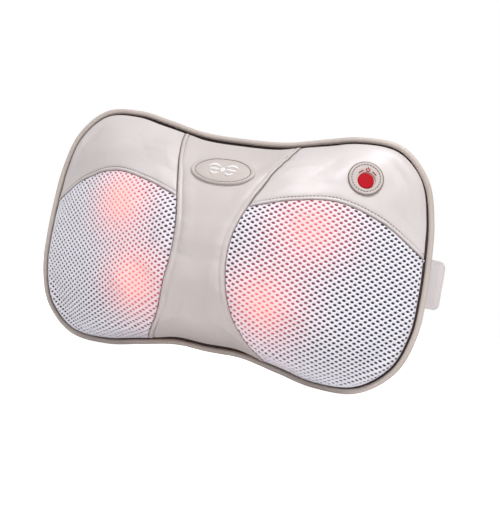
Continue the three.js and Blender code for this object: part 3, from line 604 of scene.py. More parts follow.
def swell(x, z):
    """How far the padding pushes the cover out of its drawn shape, from the simulation."""
    ring = np.clip(rho_of(x, z), 0, 1) * SIM_RINGS
    turn = (np.arctan2(x, z) / (2 * math.pi) % 1) * SIM_TURNS
    r0 = np.minimum(ring.astype(int), SIM_RINGS - 1)
    t0 = turn.astype(int) % SIM_TURNS
    fr, ft = ring - r0, turn - turn.astype(int)
    t1 = (t0 + 1) % SIM_TURNS
    low = swell_table[r0, t0] * (1 - ft) + swell_table[r0, t1] * ft
    high = swell_table[r0 + 1, t0] * (1 - ft) + swell_table[r0 + 1, t1] * ft
    from_patch = np.hypot(x - PATCH_AT[0], z - PATCH_AT[1])
    free = smooth((from_patch - PATCH_RADIUS - 2) / 14) * smooth(np.hypot(x, z) / 20)
    return (low * (1 - fr) + high * fr) * free


def run_cloth(piece, pinned, pressure, stiffness, shrink):
    """Steps a pressurised cloth and returns where its vertices end, in metres."""
    scene = bpy.context.scene
    cloth = piece.modifiers.new("Cloth", "CLOTH")
    settings = cloth.settings
    settings.quality = 6
    settings.mass = 0.3
    settings.tension_stiffness = stiffness
    settings.compression_stiffness = stiffness
    settings.shear_stiffness = stiffness / 2
    settings.bending_stiffness = 1.0
    settings.use_pressure = True
    settings.uniform_pressure_force = pressure
    settings.shrink_min = shrink
    settings.effector_weights.gravity = 0
    if pinned:
        group = piece.vertex_groups.new(name="pins")
        for index, weight in pinned:
            group.add([index], weight, "REPLACE")
        settings.vertex_group_mass = "pins"
    scene.frame_start = 1
    scene.frame_end = SIM_FRAMES
    cloth.point_cache.frame_end = SIM_FRAMES
    for number in range(1, SIM_FRAMES + 1):
        scene.frame_set(number)
    evaluated = piece.evaluated_get(bpy.context.evaluated_depsgraph_get())
    ended = vertex_places(evaluated.data)
    piece.modifiers.remove(cloth)
    scene.frame_set(1)
    return ended


def simulate_cover():
    """Lets the cover's skin billow over its padding, held at the rim and along its seams."""
    ring, turn = np.meshgrid(np.arange(SIM_RINGS + 1), np.arange(SIM_TURNS), indexing="ij")
    angle = turn / SIM_TURNS * 2 * math.pi
    # A tiny hub ring keeps the grid regular; its turns differ only by a millimetre.
    radius = np.maximum(ring / SIM_RINGS, 0.008) * seam_radius(angle)
    x, z = radius * np.sin(angle), radius * np.cos(angle)
    faces = grid_faces(SIM_RINGS + 1, SIM_TURNS, wrap_columns=True)
    skin = new_mesh("skin", cover_point(x, z), faces, LEATHER, facing=(0, -1, 0))
    rest = vertex_places(skin.data)
    flat = np.stack([x.ravel(), z.ravel()], -1)
    seams = np.vstack([SEAM_LINES[k] * (side, 1) for k in SEAM_LINES for side in (-1, 1)])
    to_seam = np.linalg.norm(flat[:, None] - seams[None], axis=-1).min(1)
    held = np.where(ring.ravel() == SIM_RINGS, 1.0, np.where(to_seam < 3.5, 0.9, 0.0))
    pinned = [(int(i), float(held[i])) for i in np.nonzero(held)[0]]
    ended = run_cloth(skin, pinned, pressure=4.0, stiffness=12.0, shrink=-0.03)
    normals = cover_normal(x, z).reshape(-1, 3)
    moved = ((ended - rest) / MM * normals).sum(1).reshape(x.shape)
    discard(skin)
    moved = np.clip(moved, *SWELL_CAP)
    return (moved + np.roll(moved, 1, 1) + np.roll(moved, -1, 1)) / 3


def swollen_copy(node, name, material, voxel, cap, pressure):
    """A soft piece: a remeshed copy of a plain solid, swollen by cloth pressure."""
    mesh = NODES[node].data.copy()
    mesh.materials.clear()
    mesh.materials.append(material)
    piece = add_object(name, mesh)
    remesh = piece.modifiers.new("Remesh", "REMESH")
    remesh.mode = "VOXEL"
    remesh.voxel_size = voxel * MM
    remesh.use_smooth_shade = True
    apply_modifiers(piece)
    rest = vertex_places(piece.data)
    ended = run_cloth(piece, [], pressure, 15.0, 0.0)
    move = ended - rest
    length = np.linalg.norm(move, axis=1, keepdims=True)
    rest = rest + move * np.minimum(1, cap * MM / np.maximum(length, 1e-9))
    piece.data.vertices.foreach_set("co", rest.ravel())
    relax = piece.modifiers.new("Relax", "SMOOTH")
    relax.iterations = 6
    relax.factor = 0.5
    apply_modifiers(piece)
    return piece


def apply_modifiers(piece):
    evaluated = piece.evaluated_get(bpy.context.evaluated_depsgraph_get())
    baked = bpy.data.meshes.new_from_object(evaluated)
    old = piece.data
    piece.modifiers.clear()
    piece.data = baked
    bpy.data.meshes.remove(old)
    baked.name = piece.name


# ---------------------------------------------------------------- panel outlines
def mirrored_x(curve):
    return lambda t: curve(t) * (-1, 1)


BAND_TOP = seam_arc(BAND_TOP_ANGLE, BAND_TOP_ANGLE)(0.0)
BAND_BOTTOM = seam_arc(BAND_BOTTOM_ANGLE, BAND_BOTTOM_ANGLE)(0.0)
MESH_OUTER = seam_arc(MESH_OUTER_ANGLE, MESH_OUTER_ANGLE)(0.0)
band_side = Line(catmull_rom([BAND_BOTTOM, *BAND_SIDE_SEAM, CORNER, BAND_TOP]))
mesh_side = Line(catmull_rom([BAND_BOTTOM, *BAND_SIDE_SEAM, CORNER]))
upper_side = Line(catmull_rom([CORNER, BAND_TOP]))
mesh_top = Line(catmull_rom([CORNER, *MESH_TOP_SEAM, MESH_OUTER]))
SEAM_LINES = {"band_side": band_side.points, "mesh_top": mesh_top.points}


def coons(bottom, top, left, right):
    """Fills the patch between four curves; u and v may run a little past 0 and 1."""
    def place(u, v):
        u1, v1 = u[..., None], v[..., None]
        ruled = (1 - v1) * bottom(u) + v1 * top(u) + (1 - u1) * left(v) + u1 * right(v)
        corners = ((1 - u1) * (1 - v1) * bottom(0.0) + u1 * (1 - v1) * bottom(1.0)
                   + (1 - u1) * v1 * top(0.0) + u1 * v1 * top(1.0))
        return ruled - corners
    return place


def band_bottom_curve(t):
    arc = seam_arc(BAND_BOTTOM_ANGLE, 180.0)(1 - np.abs(2 * np.asarray(t) - 1))
    sign = np.where(np.asarray(t) < 0.5, -1.0, 1.0)
    return arc * np.stack([sign, np.ones_like(sign)], -1)


band_patch = coons(band_bottom_curve, seam_arc(-BAND_TOP_ANGLE, BAND_TOP_ANGLE),
                   mirrored_x(band_side), band_side)
upper_patch = coons(mesh_top, seam_arc(BAND_TOP_ANGLE, UPPER_SHOULDER_ANGLE),
                    upper_side, seam_arc(MESH_OUTER_ANGLE, UPPER_SHOULDER_ANGLE))
mesh_patch = coons(seam_arc(BAND_BOTTOM_ANGLE, MESH_LOWER_ANGLE), mesh_top,
                   mesh_side, seam_arc(MESH_LOWER_ANGLE, MESH_OUTER_ANGLE))

# How a panel ends at an edge: (distance in from the edge, lift of the surface).
FOLDED_EDGE = [
    (0.0, -1.7), (0.0, -0.4), (0.12, 0.35), (0.4, 0.85), (0.95, 1.15), (1.55, 1.1), (2.05, 0.7),
    (2.45, 0.2), (2.8, 0.05), (3.15, 0.25), (3.7, 0.55), (4.8, 0.75), (7, 0.6), (10, 0.3), (14, 0.0),
]
TUCKED_EDGE = [(-1.6, -0.5), (0.0, -0.4), (1.0, -0.35), (2.2, -0.2), (4, 0.0), (7, 0.1), (11, 0.0)]
WELTED_EDGE = [(1.5, -0.8), (1.55, -0.3), (1.7, 0), (2.0, 0), (2.6, 0), (3.5, 0), (4.8, 0), (7, 0),
               (10, 0), (15, 0)]


def stations(first, last, width, middle):
    """Places across a panel as shares of its width, dense at both edges, and their lifts."""
    width = np.asarray(width, float)[..., None]
    near = np.array([s for s, _ in first])
    far = np.array([s for s, _ in reversed(last)])
    start, end = near[-1] / width, 1 - far[0] / width
    inner = start + (end - start) * np.linspace(0, 1, middle + 2)[1:-1]
    shares = np.concatenate([near / width, inner, 1 - far / width], -1)
    lifts = np.array([h for _, h in first] + [0.0] * middle + [h for _, h in reversed(last)])
    return shares, lifts


def lengths(place, along_u, others):
    """The lengths of a patch's lines, for each place of the other direction."""
    t = np.linspace(0, 1, 40)
    a, b = np.meshgrid(others, t, indexing="ij")
    points = place(b, a) if along_u else place(a, b)
    return np.linalg.norm(np.diff(points, axis=1), axis=-1).sum(1)


def panel(name, patch, side, edges, middles, material):
    """A cover panel. edges are its (left, right, bottom, top) ends, middles its inner rows."""
    left, right, bottom, top = edges
    plain_v, lifts_v = stations(bottom, top, lengths(patch, False, np.array([0.5]))[0], middles[1])
    us, lifts_u = stations(left, right, lengths(patch, True, np.clip(plain_v, 0, 1)), middles[0])
    plain_u = us[len(plain_v) // 2]
    vs, _ = stations(bottom, top, lengths(patch, False, np.clip(plain_u, 0, 1)), middles[1])
    u, v = us.T, vs
    xz = patch(u, v)
    deepest = np.minimum(lifts_u[:, None], lifts_v[None])
    lift = np.where(deepest < -0.3, deepest, lifts_u[:, None] + lifts_v[None])
    points = cover_point(side * xz[..., 0], xz[..., 1], lift)
    piece = new_mesh(name, points, grid_faces(*u.shape), material, facing=(0, -1, 0))
    return thicken(piece, COVER_THICKNESS)


def beside_seam(line, inset, side, lift, shares):
    """Points on the cover beside a seam line, `inset` from it towards its own panel."""
    flat = line(shares)
    along = unit(np.gradient(flat, axis=0))
    path = (flat + np.stack([-along[:, 1], along[:, 0]], -1) * inset) * (side, 1)
    return cover_point(path[:, 0], path[:, 1], lift)


def stitch_row(name, line, side, start=0.012):
    """Sewn stitches beside a seam line."""
    run = beside_seam(line, STITCH_INSET, side, STITCH_LIFT, np.linspace(start, 0.988, 400))
    return sewn(name, run, STITCH_PITCH, THREAD)


def sewn(name, run, pitch, material, thickness=0.34, gap=0.28):
    """Threads along a path, each dipping at both ends, with `gap` of each pitch left bare."""
    track = Line(run)
    count = max(3, round(track.length / pitch))
    threads = []
    profile = np.array([0.35, 0.8, 1.0, 0.8, 0.35]) * thickness
    for k in range(count):
        shares = (k + gap / 2 + (1 - gap) * np.linspace(0, 1, 5)) / count
        centres = track(shares)
        threads.append(tube(f"{name}_{k}", centres, profile[:, None], material, sides=6))
    return join(name, threads)


# ---------------------------------------------------------------- front cover
def leather_panels():
    pieces = [panel("center_band", band_patch, 1,
                    (FOLDED_EDGE, FOLDED_EDGE, WELTED_EDGE, WELTED_EDGE), (44, 90), BAND_LEATHER)]
    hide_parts("front_center_band")
    for name, side in SIDES:
        upper = panel(f"{name}_upper_cover", upper_patch, side,
                      (TUCKED_EDGE, WELTED_EDGE, FOLDED_EDGE, WELTED_EDGE), (70, 34), LEATHER)
        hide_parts(f"upper_{name}_panel")
        pieces.append(upper)
    for piece in pieces:
        on_cushion(piece)


def cover_stitches():
    for name, side in SIDES:
        on_cushion(stitch_row(f"{name}_band_stitches", band_side, side))
        on_cushion(stitch_row(f"{name}_upper_stitches", mesh_top, side, 0.03))


def seam_shade_cords():
    """Dark cords in the groove beside each folded seam: painted shade for the crevice's shadow."""
    for name, side in SIDES:
        for kind, line in (("band", band_side), ("upper", mesh_top)):
            run = beside_seam(line, -0.5, side, 0.25, np.linspace(0.01, 0.99, 160))
            tape = tube(f"{name}_{kind}_seam_shade_cord", run, 0.32, SEAM_SHADE, 8)
            on_cushion(tape)


def inside_distance(points, outline):
    """Distance of points to a closed outline, positive inside, and the nearest outline points."""
    start, end = outline, np.roll(outline, -1, 0)
    edge = end - start
    best = np.full(len(points), 1e9)
    nearest = np.zeros_like(points)
    inside = np.zeros(len(points), bool)
    for a, b, e in zip(start, end, edge):
        share = np.clip(((points - a) @ e) / max(e @ e, 1e-9), 0, 1)
        foot = a + share[:, None] * e
        far = np.linalg.norm(points - foot, axis=1)
        closer = far < best
        best[closer] = far[closer]
        nearest[closer] = foot[closer]
        crosses = (a[1] > points[:, 1]) != (b[1] > points[:, 1])
        if abs(b[1] - a[1]) > 1e-12:
            at = a[0] + (points[:, 1] - a[1]) / (b[1] - a[1]) * (b[0] - a[0])
            inside ^= crosses & (points[:, 0] < at)
    return np.where(inside, best, -best), nearest


FABRIC_CENTRE = (92.0, -4.0)
# One cell of the knit round a hole: rings of (share of the way from hole to cell edge, lift).
KNIT_RINGS = [(0.0, -0.7), (0.0, -0.25), (0.16, 0.08), (0.45, 0.3), (1.0, 0.34)]
HOLE_HALF = (1.55, 0.92)
HOLE_TILT = math.radians(-9)


def arc_lengths(reach, x, z):
    """Lengths over the bulge along a straight line of points, from where reach is 0."""
    flat = np.abs(np.diff(x)) + np.abs(np.diff(z))
    run = np.concatenate([[0], np.cumsum(np.hypot(flat, np.diff(bulge(x, z))))])
    return run - np.interp(0.0, reach, run)


def fabric_to_cover(s, t):
    """Where a point of the flat fabric lies on the cover: lengths are kept along each row."""
    reach = np.linspace(-110, 110, 1200)
    across, upwards = (reach + middle for middle in FABRIC_CENTRE)
    column = arc_lengths(reach, np.full_like(reach, FABRIC_CENTRE[0]), upwards)
    z = np.interp(t, column, upwards)
    x = np.zeros_like(z)
    for height in np.unique(np.round(z, 3)):
        row = np.abs(z - height) < 6e-4
        x[row] = np.interp(s[row], arc_lengths(reach, across, np.full_like(reach, height)), across)
    return x, z


def knit_cell():
    """Corner and edge points of the lattice's six-sided cell, and the hole inside it."""
    a, b = HOLE_PITCH / 2, ROW_PITCH
    half_square = (a * a + b * b) / 2
    side_x = half_square / a
    top_x = (half_square - b * b) / a
    corners = [(side_x, 0), (top_x, b), (-top_x, b), (-side_x, 0), (-top_x, -b), (top_x, -b)]
    rim = []
    for p, q in zip(corners, corners[1:] + corners[:1]):
        rim.append(p)
        rim.append(((p[0] + q[0]) / 2, (p[1] + q[1]) / 2))
    rim = np.array(rim)
    angle = np.arctan2(rim[:, 1] / HOLE_HALF[1], rim[:, 0] / HOLE_HALF[0])
    hole = np.stack([HOLE_HALF[0] * np.cos(angle), HOLE_HALF[1] * np.sin(angle)], -1)
    cos, sin = math.cos(HOLE_TILT), math.sin(HOLE_TILT)
    return rim, hole @ np.array([[cos, sin], [-sin, cos]])


def knitted_mesh(name, side):
    """The open mesh window, knitted round real holes and laid over the cover's bulge."""
    rim, hole = knit_cell()
    rows = np.arange(-46, 47)
    steps = np.arange(-16, 17)
    j, i = (grid.ravel() for grid in np.meshgrid(rows, steps, indexing="ij"))
    centres = np.stack([(i + 0.5 * (j % 2)) * HOLE_PITCH, j * ROW_PITCH], -1)
    outline = mesh_outline()
    x, z = fabric_to_cover(centres[:, 0], centres[:, 1])
    inside, _ = inside_distance(np.stack([x, z], -1), outline)
    centres = centres[inside > -1.0]
    shares = np.array([share for share, _ in KNIT_RINGS])
    lifts = np.array([lift for _, lift in KNIT_RINGS])
    cell = hole[None] * (1 - shares)[:, None, None] + rim[None] * shares[:, None, None]
    flat = (centres[:, None, None] + cell[None]).reshape(-1, 2)
    lift = np.broadcast_to(lifts[None, :, None], (len(centres), len(shares), len(rim))).ravel()
    x, z = fabric_to_cover(np.round(flat[:, 0], 4), np.round(flat[:, 1], 3))
    placed = np.stack([x, z], -1)
    depth, nearest = inside_distance(placed, outline)
    outside = depth < 0
    placed[outside] = nearest[outside]
    points = cover_point(side * placed[:, 0], placed[:, 1], lift)
    per_ring, per_cell = len(rim), len(rim) * len(shares)
    ring_faces = grid_faces(len(shares), per_ring, wrap_columns=True)
    faces = (np.arange(len(centres))[:, None, None] * per_cell + ring_faces[None]).reshape(-1, 4)
    piece = new_mesh(name, points, faces, MESH_THREAD, facing=(0, -1, 0))
    weld(piece, 0.03)
    return piece


def weld(piece, millimetres):
    shape = bmesh.new()
    shape.from_mesh(piece.data)
    bmesh.ops.remove_doubles(shape, verts=shape.verts, dist=millimetres * MM)
    bmesh.ops.dissolve_degenerate(shape, edges=shape.edges, dist=1e-6)
    for face in shape.faces:
        face.smooth = True
    shape.to_mesh(piece.data)
    shape.free()


def mesh_outline():
    """The mesh window's edge, a little under the folded leather round it."""
    t = np.linspace(0, 1, 90)[:-1]
    welted = np.vstack([seam_arc(BAND_BOTTOM_ANGLE, MESH_LOWER_ANGLE)(t),
                        seam_arc(MESH_LOWER_ANGLE, MESH_OUTER_ANGLE)(t)])
    return np.vstack([welted * 0.991, mesh_top(1 - t), mesh_side(1 - t)])


def mesh_windows():
    for name, side in SIDES:
        cloth = knitted_mesh(f"{name}_mesh_window", side)
        on_cushion(cloth, f"{name}_mesh_panel")
        shares = np.linspace(0.002, 0.998, 70)
        u, v = np.meshgrid(shares, shares, indexing="ij")
        xz = mesh_patch(u, v)
        points = cover_point(side * xz[..., 0], xz[..., 1], np.full(u.shape, -1.1))
        # a dark sheet behind the holes: painted shade for the inside and painted glow over the nodes
        back = new_mesh(f"{name}_mesh_shade_backing", points, grid_faces(70, 70), SHADE_BACKING,
                        facing=(0, -1, 0))
        thicken(back, 0.5)
        on_cushion(back)


# ---------------------------------------------------------------- piping and side panels
def wave_noise(t, seed, octaves=(7, 13, 23, 41)):
    """A smooth closed pseudo-random curve of t (0 to 1), about -1 to 1."""
    total = np.zeros_like(np.asarray(t, float))
    for k, octave in enumerate(octaves):
        phase = math.sin(seed * 12.9898 + k * 78.233) * 43.7
        total = total + np.sin(2 * math.pi * octave * t + phase) / (1 + 0.6 * k)
    return total / 2.2


def piping(name, y, node):
    steps, sides = 640, 16
    t = np.arange(steps) / steps
    centres, outwards = offset_seam(t, PIPING_OFFSET - inset_at(y))
    path = np.stack([centres[:, 0], np.full(steps, y), centres[:, 1]], -1)
    out = np.stack([outwards[:, 0], np.zeros(steps), outwards[:, 1]], -1)
    angle = 2 * math.pi * np.arange(sides) / sides
    ripple = 0.05 * wave_noise(t, 3.0 + y, (61, 97, 151))[:, None] * np.cos(angle * 2 + 1)[None]
    radius = PIPING_RADIUS * (1 + 0.012 * wave_noise(t, y)[:, None]) + ripple
    joint = seam_share_at_x(PIPING_JOINT_X)
    away = np.abs((t - joint + 0.5) % 1 - 0.5) * SEAM.length
    radius = radius - 0.45 * np.exp(-(away / 0.9) ** 2)[:, None]
    radius = np.minimum(radius, PIPING_RADIUS + 0.12)
    piece = tube(name, path, radius, PIPING, sides, closed=True, outwards=out)
    on_cushion(piece, node)


def seam_share_at_x(x):
    """Share of the seam's length at which its lower edge passes x."""
    low = np.nonzero(SEAM.points[:, 1] < 0)[0]
    nearest = low[np.argmin(np.abs(SEAM.points[low, 0] - x))]
    return SEAM.at[nearest] / SEAM.length


# The painted-shade strip's cross-section: (offset from the seam, how far it stands out).
FRONT_GROOVE_SHADE = [(-2.8, 0.3), (-1.6, 0.0), (-0.3, 0.0), (0.9, -0.3)]
REAR_GROOVE_SHADE = [(-1.4, -1.6), (-0.6, -1.4), (0.2, -1.2), (1.2, -1.0)]


def groove_shade_strip(name, y, sign, across):
    """A dark strip in the groove between a panel and its piping: the seam allowance, coloured dark as
    painted shade for the crevice.
    """
    steps = 400
    t = np.arange(steps) / steps
    rows = []
    for offset, depth in across:
        line, _ = offset_seam(t, offset - inset_at(y))
        rows.append(np.stack([line[:, 0], np.full(steps, y - sign * depth), line[:, 1]], -1))
    faces = grid_faces(len(across), steps, wrap_columns=True)
    piece = new_mesh(name, np.array(rows), faces, GROOVE_SHADE, facing=(0, -sign, 0))
    thicken(piece, 0.5)
    on_cushion(piece)


def share_of_angle(degrees):
    """Share of the seam's length at which a direction from the hub is met."""
    gap = np.abs((SEAM_ANGLES - math.radians(degrees) + math.pi) % (2 * math.pi) - math.pi)
    return SEAM.at[np.argmin(gap)] / SEAM.length


def side_panel(name, start, end, steps, node, plain_at=None):
    """A strip of the leather side between front and rear piping, slightly padded."""
    u = np.linspace(start, end, steps)
    v = np.linspace(0, 1, 26)
    y = PIPING_RADIUS + 0.2 + (REAR_Y - 2 * PIPING_RADIUS - 0.4) * v
    tt, yy = np.meshgrid(u, y, indexing="ij")
    crown = np.sin(math.pi * np.clip((yy - 2) / (REAR_Y - 4), 0, 1)) ** 0.7
    ends = smooth(np.minimum(tt - start, end - tt) * SEAM.length / 7)
    wrinkle = 0.35 * wave_noise(tt + 0.004 * np.sin(yy / 7), 5.0, (31, 47, 83, 131))
    out = (0.5 + 0.9 * ends) * crown + wrinkle * crown * (0.4 + 0.6 * np.cos((yy - 25) / 16))
    if plain_at is not None:
        near = np.exp(-(((tt - plain_at) * SEAM.length / 14) ** 2))
        out = out * (1 - near)
    flat, _ = offset_seam(tt, GUSSET_OFFSET - 0.6 + out - inset_at(yy))
    points = np.stack([flat[..., 0], yy, flat[..., 1]], -1)
    middle = offset_seam(np.array([(start + end) / 2]), 0.0)[1][0]
    piece = new_mesh(name, points, grid_faces(*tt.shape), LEATHER, (middle[0], 0, middle[1]))
    thicken(piece, 1.2)
    on_cushion(piece, node)


def side_panels():
    upper, lower = share_of_angle(40), share_of_angle(130)
    margin = 0.0004
    side_panel("side_right", upper + margin, lower - margin, 150, "gusset_right")
    side_panel("side_left", 1 - lower + margin, 1 - upper - margin, 150, "gusset_left")
    side_panel("side_top", -upper + margin, upper - margin, 130, "gusset_top")
    side_panel("side_bottom", lower + margin, 1 - lower - margin, 130, "gusset_bottom", 0.5)


# ---------------------------------------------------------------- badge and button patch
def oval_plate(name, place, profile, material, turns=96):
    """A plate over an oval: place(share, angle, height) puts its rings, profile is (share, height)."""
    angle = 2 * math.pi * np.arange(turns) / turns
    rings = [place(np.full(turns, share), angle, np.full(turns, height)) for share, height in profile]
    points = np.array(rings).reshape(-1, 3)
    faces = capped(grid_faces(len(profile), turns, wrap_columns=True), len(profile), turns)
    piece = new_mesh(name, points, faces, material)
    tidy_normals(piece)
    return piece


def badge_place(share, angle, height):
    x = BADGE_AT[0] + BADGE_HALF[0] * share * np.cos(angle)
    z = BADGE_AT[1] + BADGE_HALF[1] * share * np.sin(angle)
    return cover_point(x, z, height)


# (share of the radius, height): under side, rounded rim, sewn groove, flat field.
BADGE_PROFILE = [
    (0.05, 0.4), (0.94, 0.2), (1.0, 0.55), (1.012, 1.3), (1.0, 2.0), (0.965, 2.45), (0.93, 2.5),
    (0.895, 2.2), (0.875, 1.85), (0.855, 2.0), (0.82, 2.2), (0.6, 2.3), (0.3, 2.35), (0.05, 2.35),
]


def badge():
    plate = oval_plate("badge", badge_place, BADGE_PROFILE, PATCH_LEATHER)
    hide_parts("badge_plate")
    angle = np.linspace(0, 2 * math.pi, 200)
    run = badge_place(np.full(200, 0.876), angle, np.full(200, 2.05))
    ring = sewn("badge_stitches", run, 2.4, DARK_THREAD, gap=0.2)
    motif = badge_motif()
    for piece in (plate, ring, motif):
        on_cushion(piece)


def badge_motif():
    """A plain printed mark: two wings of three bars each round a dot."""
    pieces = []
    for side in (-1, 1):
        for k in range(3):
            t = np.linspace(0, 1, 14)
            x = side * (2.6 + (10.6 - 1.6 * k) * t)
            z = BADGE_AT[1] + (2.3 - 2.3 * k) * (1 - 0.2 * t) + 1.7 * np.sin(math.pi * t) * (1 - k)
            run = cover_point(x, z, np.full(14, 2.5))
            width = 0.85 * np.sin(math.pi * (0.12 + 0.8 * t)) + 0.1
            pieces.append(tube(f"bar_{side}_{k}", run, width[:, None], WHITE_PRINT, 8))
    turn = np.linspace(0, 2 * math.pi, 24)[:-1]
    dot = cover_point(1.2 * np.cos(turn), BADGE_AT[1] + 1.2 * np.sin(turn), np.full(23, 2.32))
    pieces.append(tube("dot", dot, 0.75, WHITE_PRINT, 8, closed=True))
    return join("badge_motif", pieces)


def button_frame():
    """Origin and axes of the power button on the cover: right, up and outwards."""
    x, z = (np.array([value], float) for value in PATCH_AT)
    outwards = cover_normal(x, z)[0]
    origin = np.array([PATCH_AT[0], -bulge(x, z)[0], PATCH_AT[1]])
    right = np.cross(outwards, (0, 0, 1))
    right /= -np.linalg.norm(right)
    return origin, right, np.cross(right, -outwards), outwards


BUTTON_ORIGIN, BUTTON_RIGHT, BUTTON_UP, BUTTON_OUT = button_frame()


def on_patch(a, b, height):
    """A point on the button patch: a to the right, b up, height outwards."""
    a, b, height = (np.asarray(value, float)[..., None] for value in (a, b, height))
    return BUTTON_ORIGIN + a * BUTTON_RIGHT + b * BUTTON_UP + height * BUTTON_OUT


def patch_circle(radius, angle, height, centre=(0, 0)):
    return on_patch(centre[0] + radius * np.cos(angle), centre[1] + radius * np.sin(angle),
                    np.full(len(angle), height))


# (share of the radius, height), from under the edge to the flat field.
PATCH_PROFILE = [
    (1.0, -0.6), (1.02, 0.5), (1.0, 1.1), (0.95, 1.4), (0.89, 1.25), (0.85, 0.95), (0.82, 1.05),
    (0.77, 1.15),
]


def button_patch():
    button_low, button_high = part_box("power_button")
    middle = np.array((button_low + button_high) / 2) / MM - (0, 0, HUB_Z)
    away = middle - BUTTON_ORIGIN
    centre = np.array([away @ BUTTON_RIGHT, away @ BUTTON_UP])
    turns = 96
    angle = 2 * math.pi * np.arange(turns) / turns
    hole = [(BUTTON_RADIUS + 0.35, -1.8), (BUTTON_RADIUS + 0.35, 0.9), (BUTTON_RADIUS + 0.8, 1.2)]
    rings = [patch_circle(PATCH_RADIUS * share, angle, height) for share, height in PATCH_PROFILE]
    rings += [patch_circle(radius, angle, height, centre) for radius, height in reversed(hole)]
    faces = grid_faces(len(rings), turns, wrap_rows=True, wrap_columns=True)
    patch = new_mesh("power_patch", np.array(rings), faces, PATCH_LEATHER)
    tidy_normals(patch)
    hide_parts("button_patch")
    ring_angle = np.linspace(0, 2 * math.pi, 200)
    ring = patch_circle(PATCH_RADIUS * 0.85, ring_angle, 1.15)
    stitches = sewn("patch_stitches", ring, 2.3, DARK_THREAD, gap=0.3)
    # a dark ring round the patch, painted shade for its groove
    rim = patch_circle(PATCH_RADIUS * 1.035, ring_angle[:-1], 0.1)
    groove = tube("patch_groove", rim, 0.55, SEAM_SHADE, 8, closed=True)
    symbol = power_symbol(centre)
    for piece in (patch, stitches, groove, symbol):
        on_cushion(piece)


def power_symbol(centre):
    """A generic power sign, printed above the button between two short arcs."""
    pieces = []
    sign_at = (centre[0], centre[1] + BUTTON_RADIUS + 2.5)
    a = np.radians(np.linspace(130, 410, 20))
    pieces.append(tube("loop", patch_circle(1.4, a, 1.2, sign_at), 0.4, RED_PRINT, 6))
    bar = on_patch(np.full(4, sign_at[0]), sign_at[1] + np.linspace(0.3, 2.1, 4), np.full(4, 1.2))
    pieces.append(tube("bar", bar, 0.4, RED_PRINT, 6, outwards=np.tile(BUTTON_OUT, (4, 1))))
    for side in (-1, 1):
        a = np.radians(90 - side * np.linspace(24, 52, 8))
        arc = patch_circle(8.4, a, 1.2, centre)
        pieces.append(tube(f"arc_{side}", arc, 0.42, RED_PRINT, 6))
    return join("power_symbol", pieces)


# ---------------------------------------------------------------- back
def back_panels():
    ring, _ = offset_seam(np.arange(2000) / 2000, 0.2 - REAR_INSET)
    half = ring[:, 0].max() - 0.1
    x = half * np.sin(np.linspace(-math.pi / 2, math.pi / 2, 110))
    above = ring[ring[:, 1] >= 0]
    below = ring[ring[:, 1] < 0]
    above = above[np.argsort(above[:, 0])]
    below = below[np.argsort(below[:, 0])]
    top = np.interp(x, above[:, 0], above[:, 1])
    bottom = np.interp(x, below[:, 0], below[:, 1])
    above_zip = np.maximum(bottom, ZIP_HEIGHT + ZIP_OPENING)
    below_zip = np.full_like(x, ZIP_HEIGHT - ZIP_OPENING)
    cuts = {"back_upper_cover": (above_zip, top, "back_upper_panel", 44),
            "back_lower_cover": (bottom, below_zip, "back_lower_panel", 20)}
    for name, (low, high, node, rows) in cuts.items():
        keep = high - low > 0.5
        v = smooth(np.linspace(0, 1, rows))
        xx, vv = np.meshgrid(x[keep], v, indexing="ij")
        zz = low[keep][:, None] * (1 - vv) + high[keep][:, None] * vv
        edge = seam_radius(np.arctan2(xx, zz)) - REAR_INSET
        rim = smooth((1 - np.hypot(xx, zz) / edge) / 0.12)
        near_zip = smooth(np.abs(zz - ZIP_HEIGHT) / 9 - 0.5)
        pucker = 0.25 * np.sin(xx / 3.1 + 1.5 * np.sin(zz / 17)) * (1 - rim)
        y = REAR_Y - 1.2 + 2.6 * rim * (0.35 + 0.65 * near_zip) + pucker
        points = np.stack([xx, y, zz], -1)
        piece = new_mesh(name, points, grid_faces(*xx.shape), LINING, facing=(0, 1, 0))
        thicken(piece, 1.2)
        on_cushion(piece, node)


def zipper_cloth():
    _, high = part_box("zipper_tape")
    y = high.y / MM
    xs = np.linspace(-ZIP_HALF - TAPE_END, ZIP_HALF + TAPE_END, 160)
    zs = np.linspace(-TAPE_HALF, TAPE_HALF, 9)
    xx, zz = np.meshgrid(xs, zs, indexing="ij")
    wave = 0.18 * np.sin(xx / 5.5) * (np.abs(zz) / TAPE_HALF)
    points = np.stack([xx, y - 0.1 + wave, ZIP_HEIGHT + zz], -1)
    tape = new_mesh("zipper_cloth", points, grid_faces(*xx.shape), LINING, facing=(0, 1, 0))
    thicken(tape, 0.7)
    on_cushion(tape, "zipper_tape")


def zipper_teeth():
    low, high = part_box("zipper_coil")
    middle = (low.y + high.y) / 2 / MM
    teeth = []
    for k in range(int(2 * ZIP_HALF / TOOTH_PITCH)):
        x = -ZIP_HALF + TOOTH_PITCH * (k + 0.5)
        side = 1 if k % 2 else -1
        reach = np.array([-0.9, 0.4, 1.7, 2.0]) * side
        run = np.stack([np.full(4, x), middle + np.array([0.1, 0.15, 0.1, -0.3]), ZIP_HEIGHT + reach], -1)
        teeth.append(tube(f"tooth_{k}", run, np.array([0.62, 0.7, 0.6, 0.4])[:, None], COIL, 8,
                          outwards=np.tile((1.0, 0, 0), (4, 1))))
    on_cushion(join("zipper_teeth", teeth), "zipper_coil")


def strap_route():
    """The strap's centre line seen from above, from the elastic round the rear piping."""
    pivot, _ = offset_seam(np.array([share_of_angle(90)]), PIPING_OFFSET - REAR_INSET)
    pivot_x = pivot[0][0]
    route = [(x, STRAP_Y) for x in (50, 90, 125, pivot_x - 8)]
    for degrees in range(90, -37, -14):
        a = math.radians(degrees)
        route.append((pivot_x + (STRAP_REACH - pivot_x) * math.cos(a),
                      REAR_Y + (STRAP_Y - REAR_Y) * math.sin(a)))
    route += [(pivot_x + 8.6, REAR_Y - 10), (pivot_x + 6, REAR_Y - 17)]
    return Line(catmull_rom(route, samples=8))


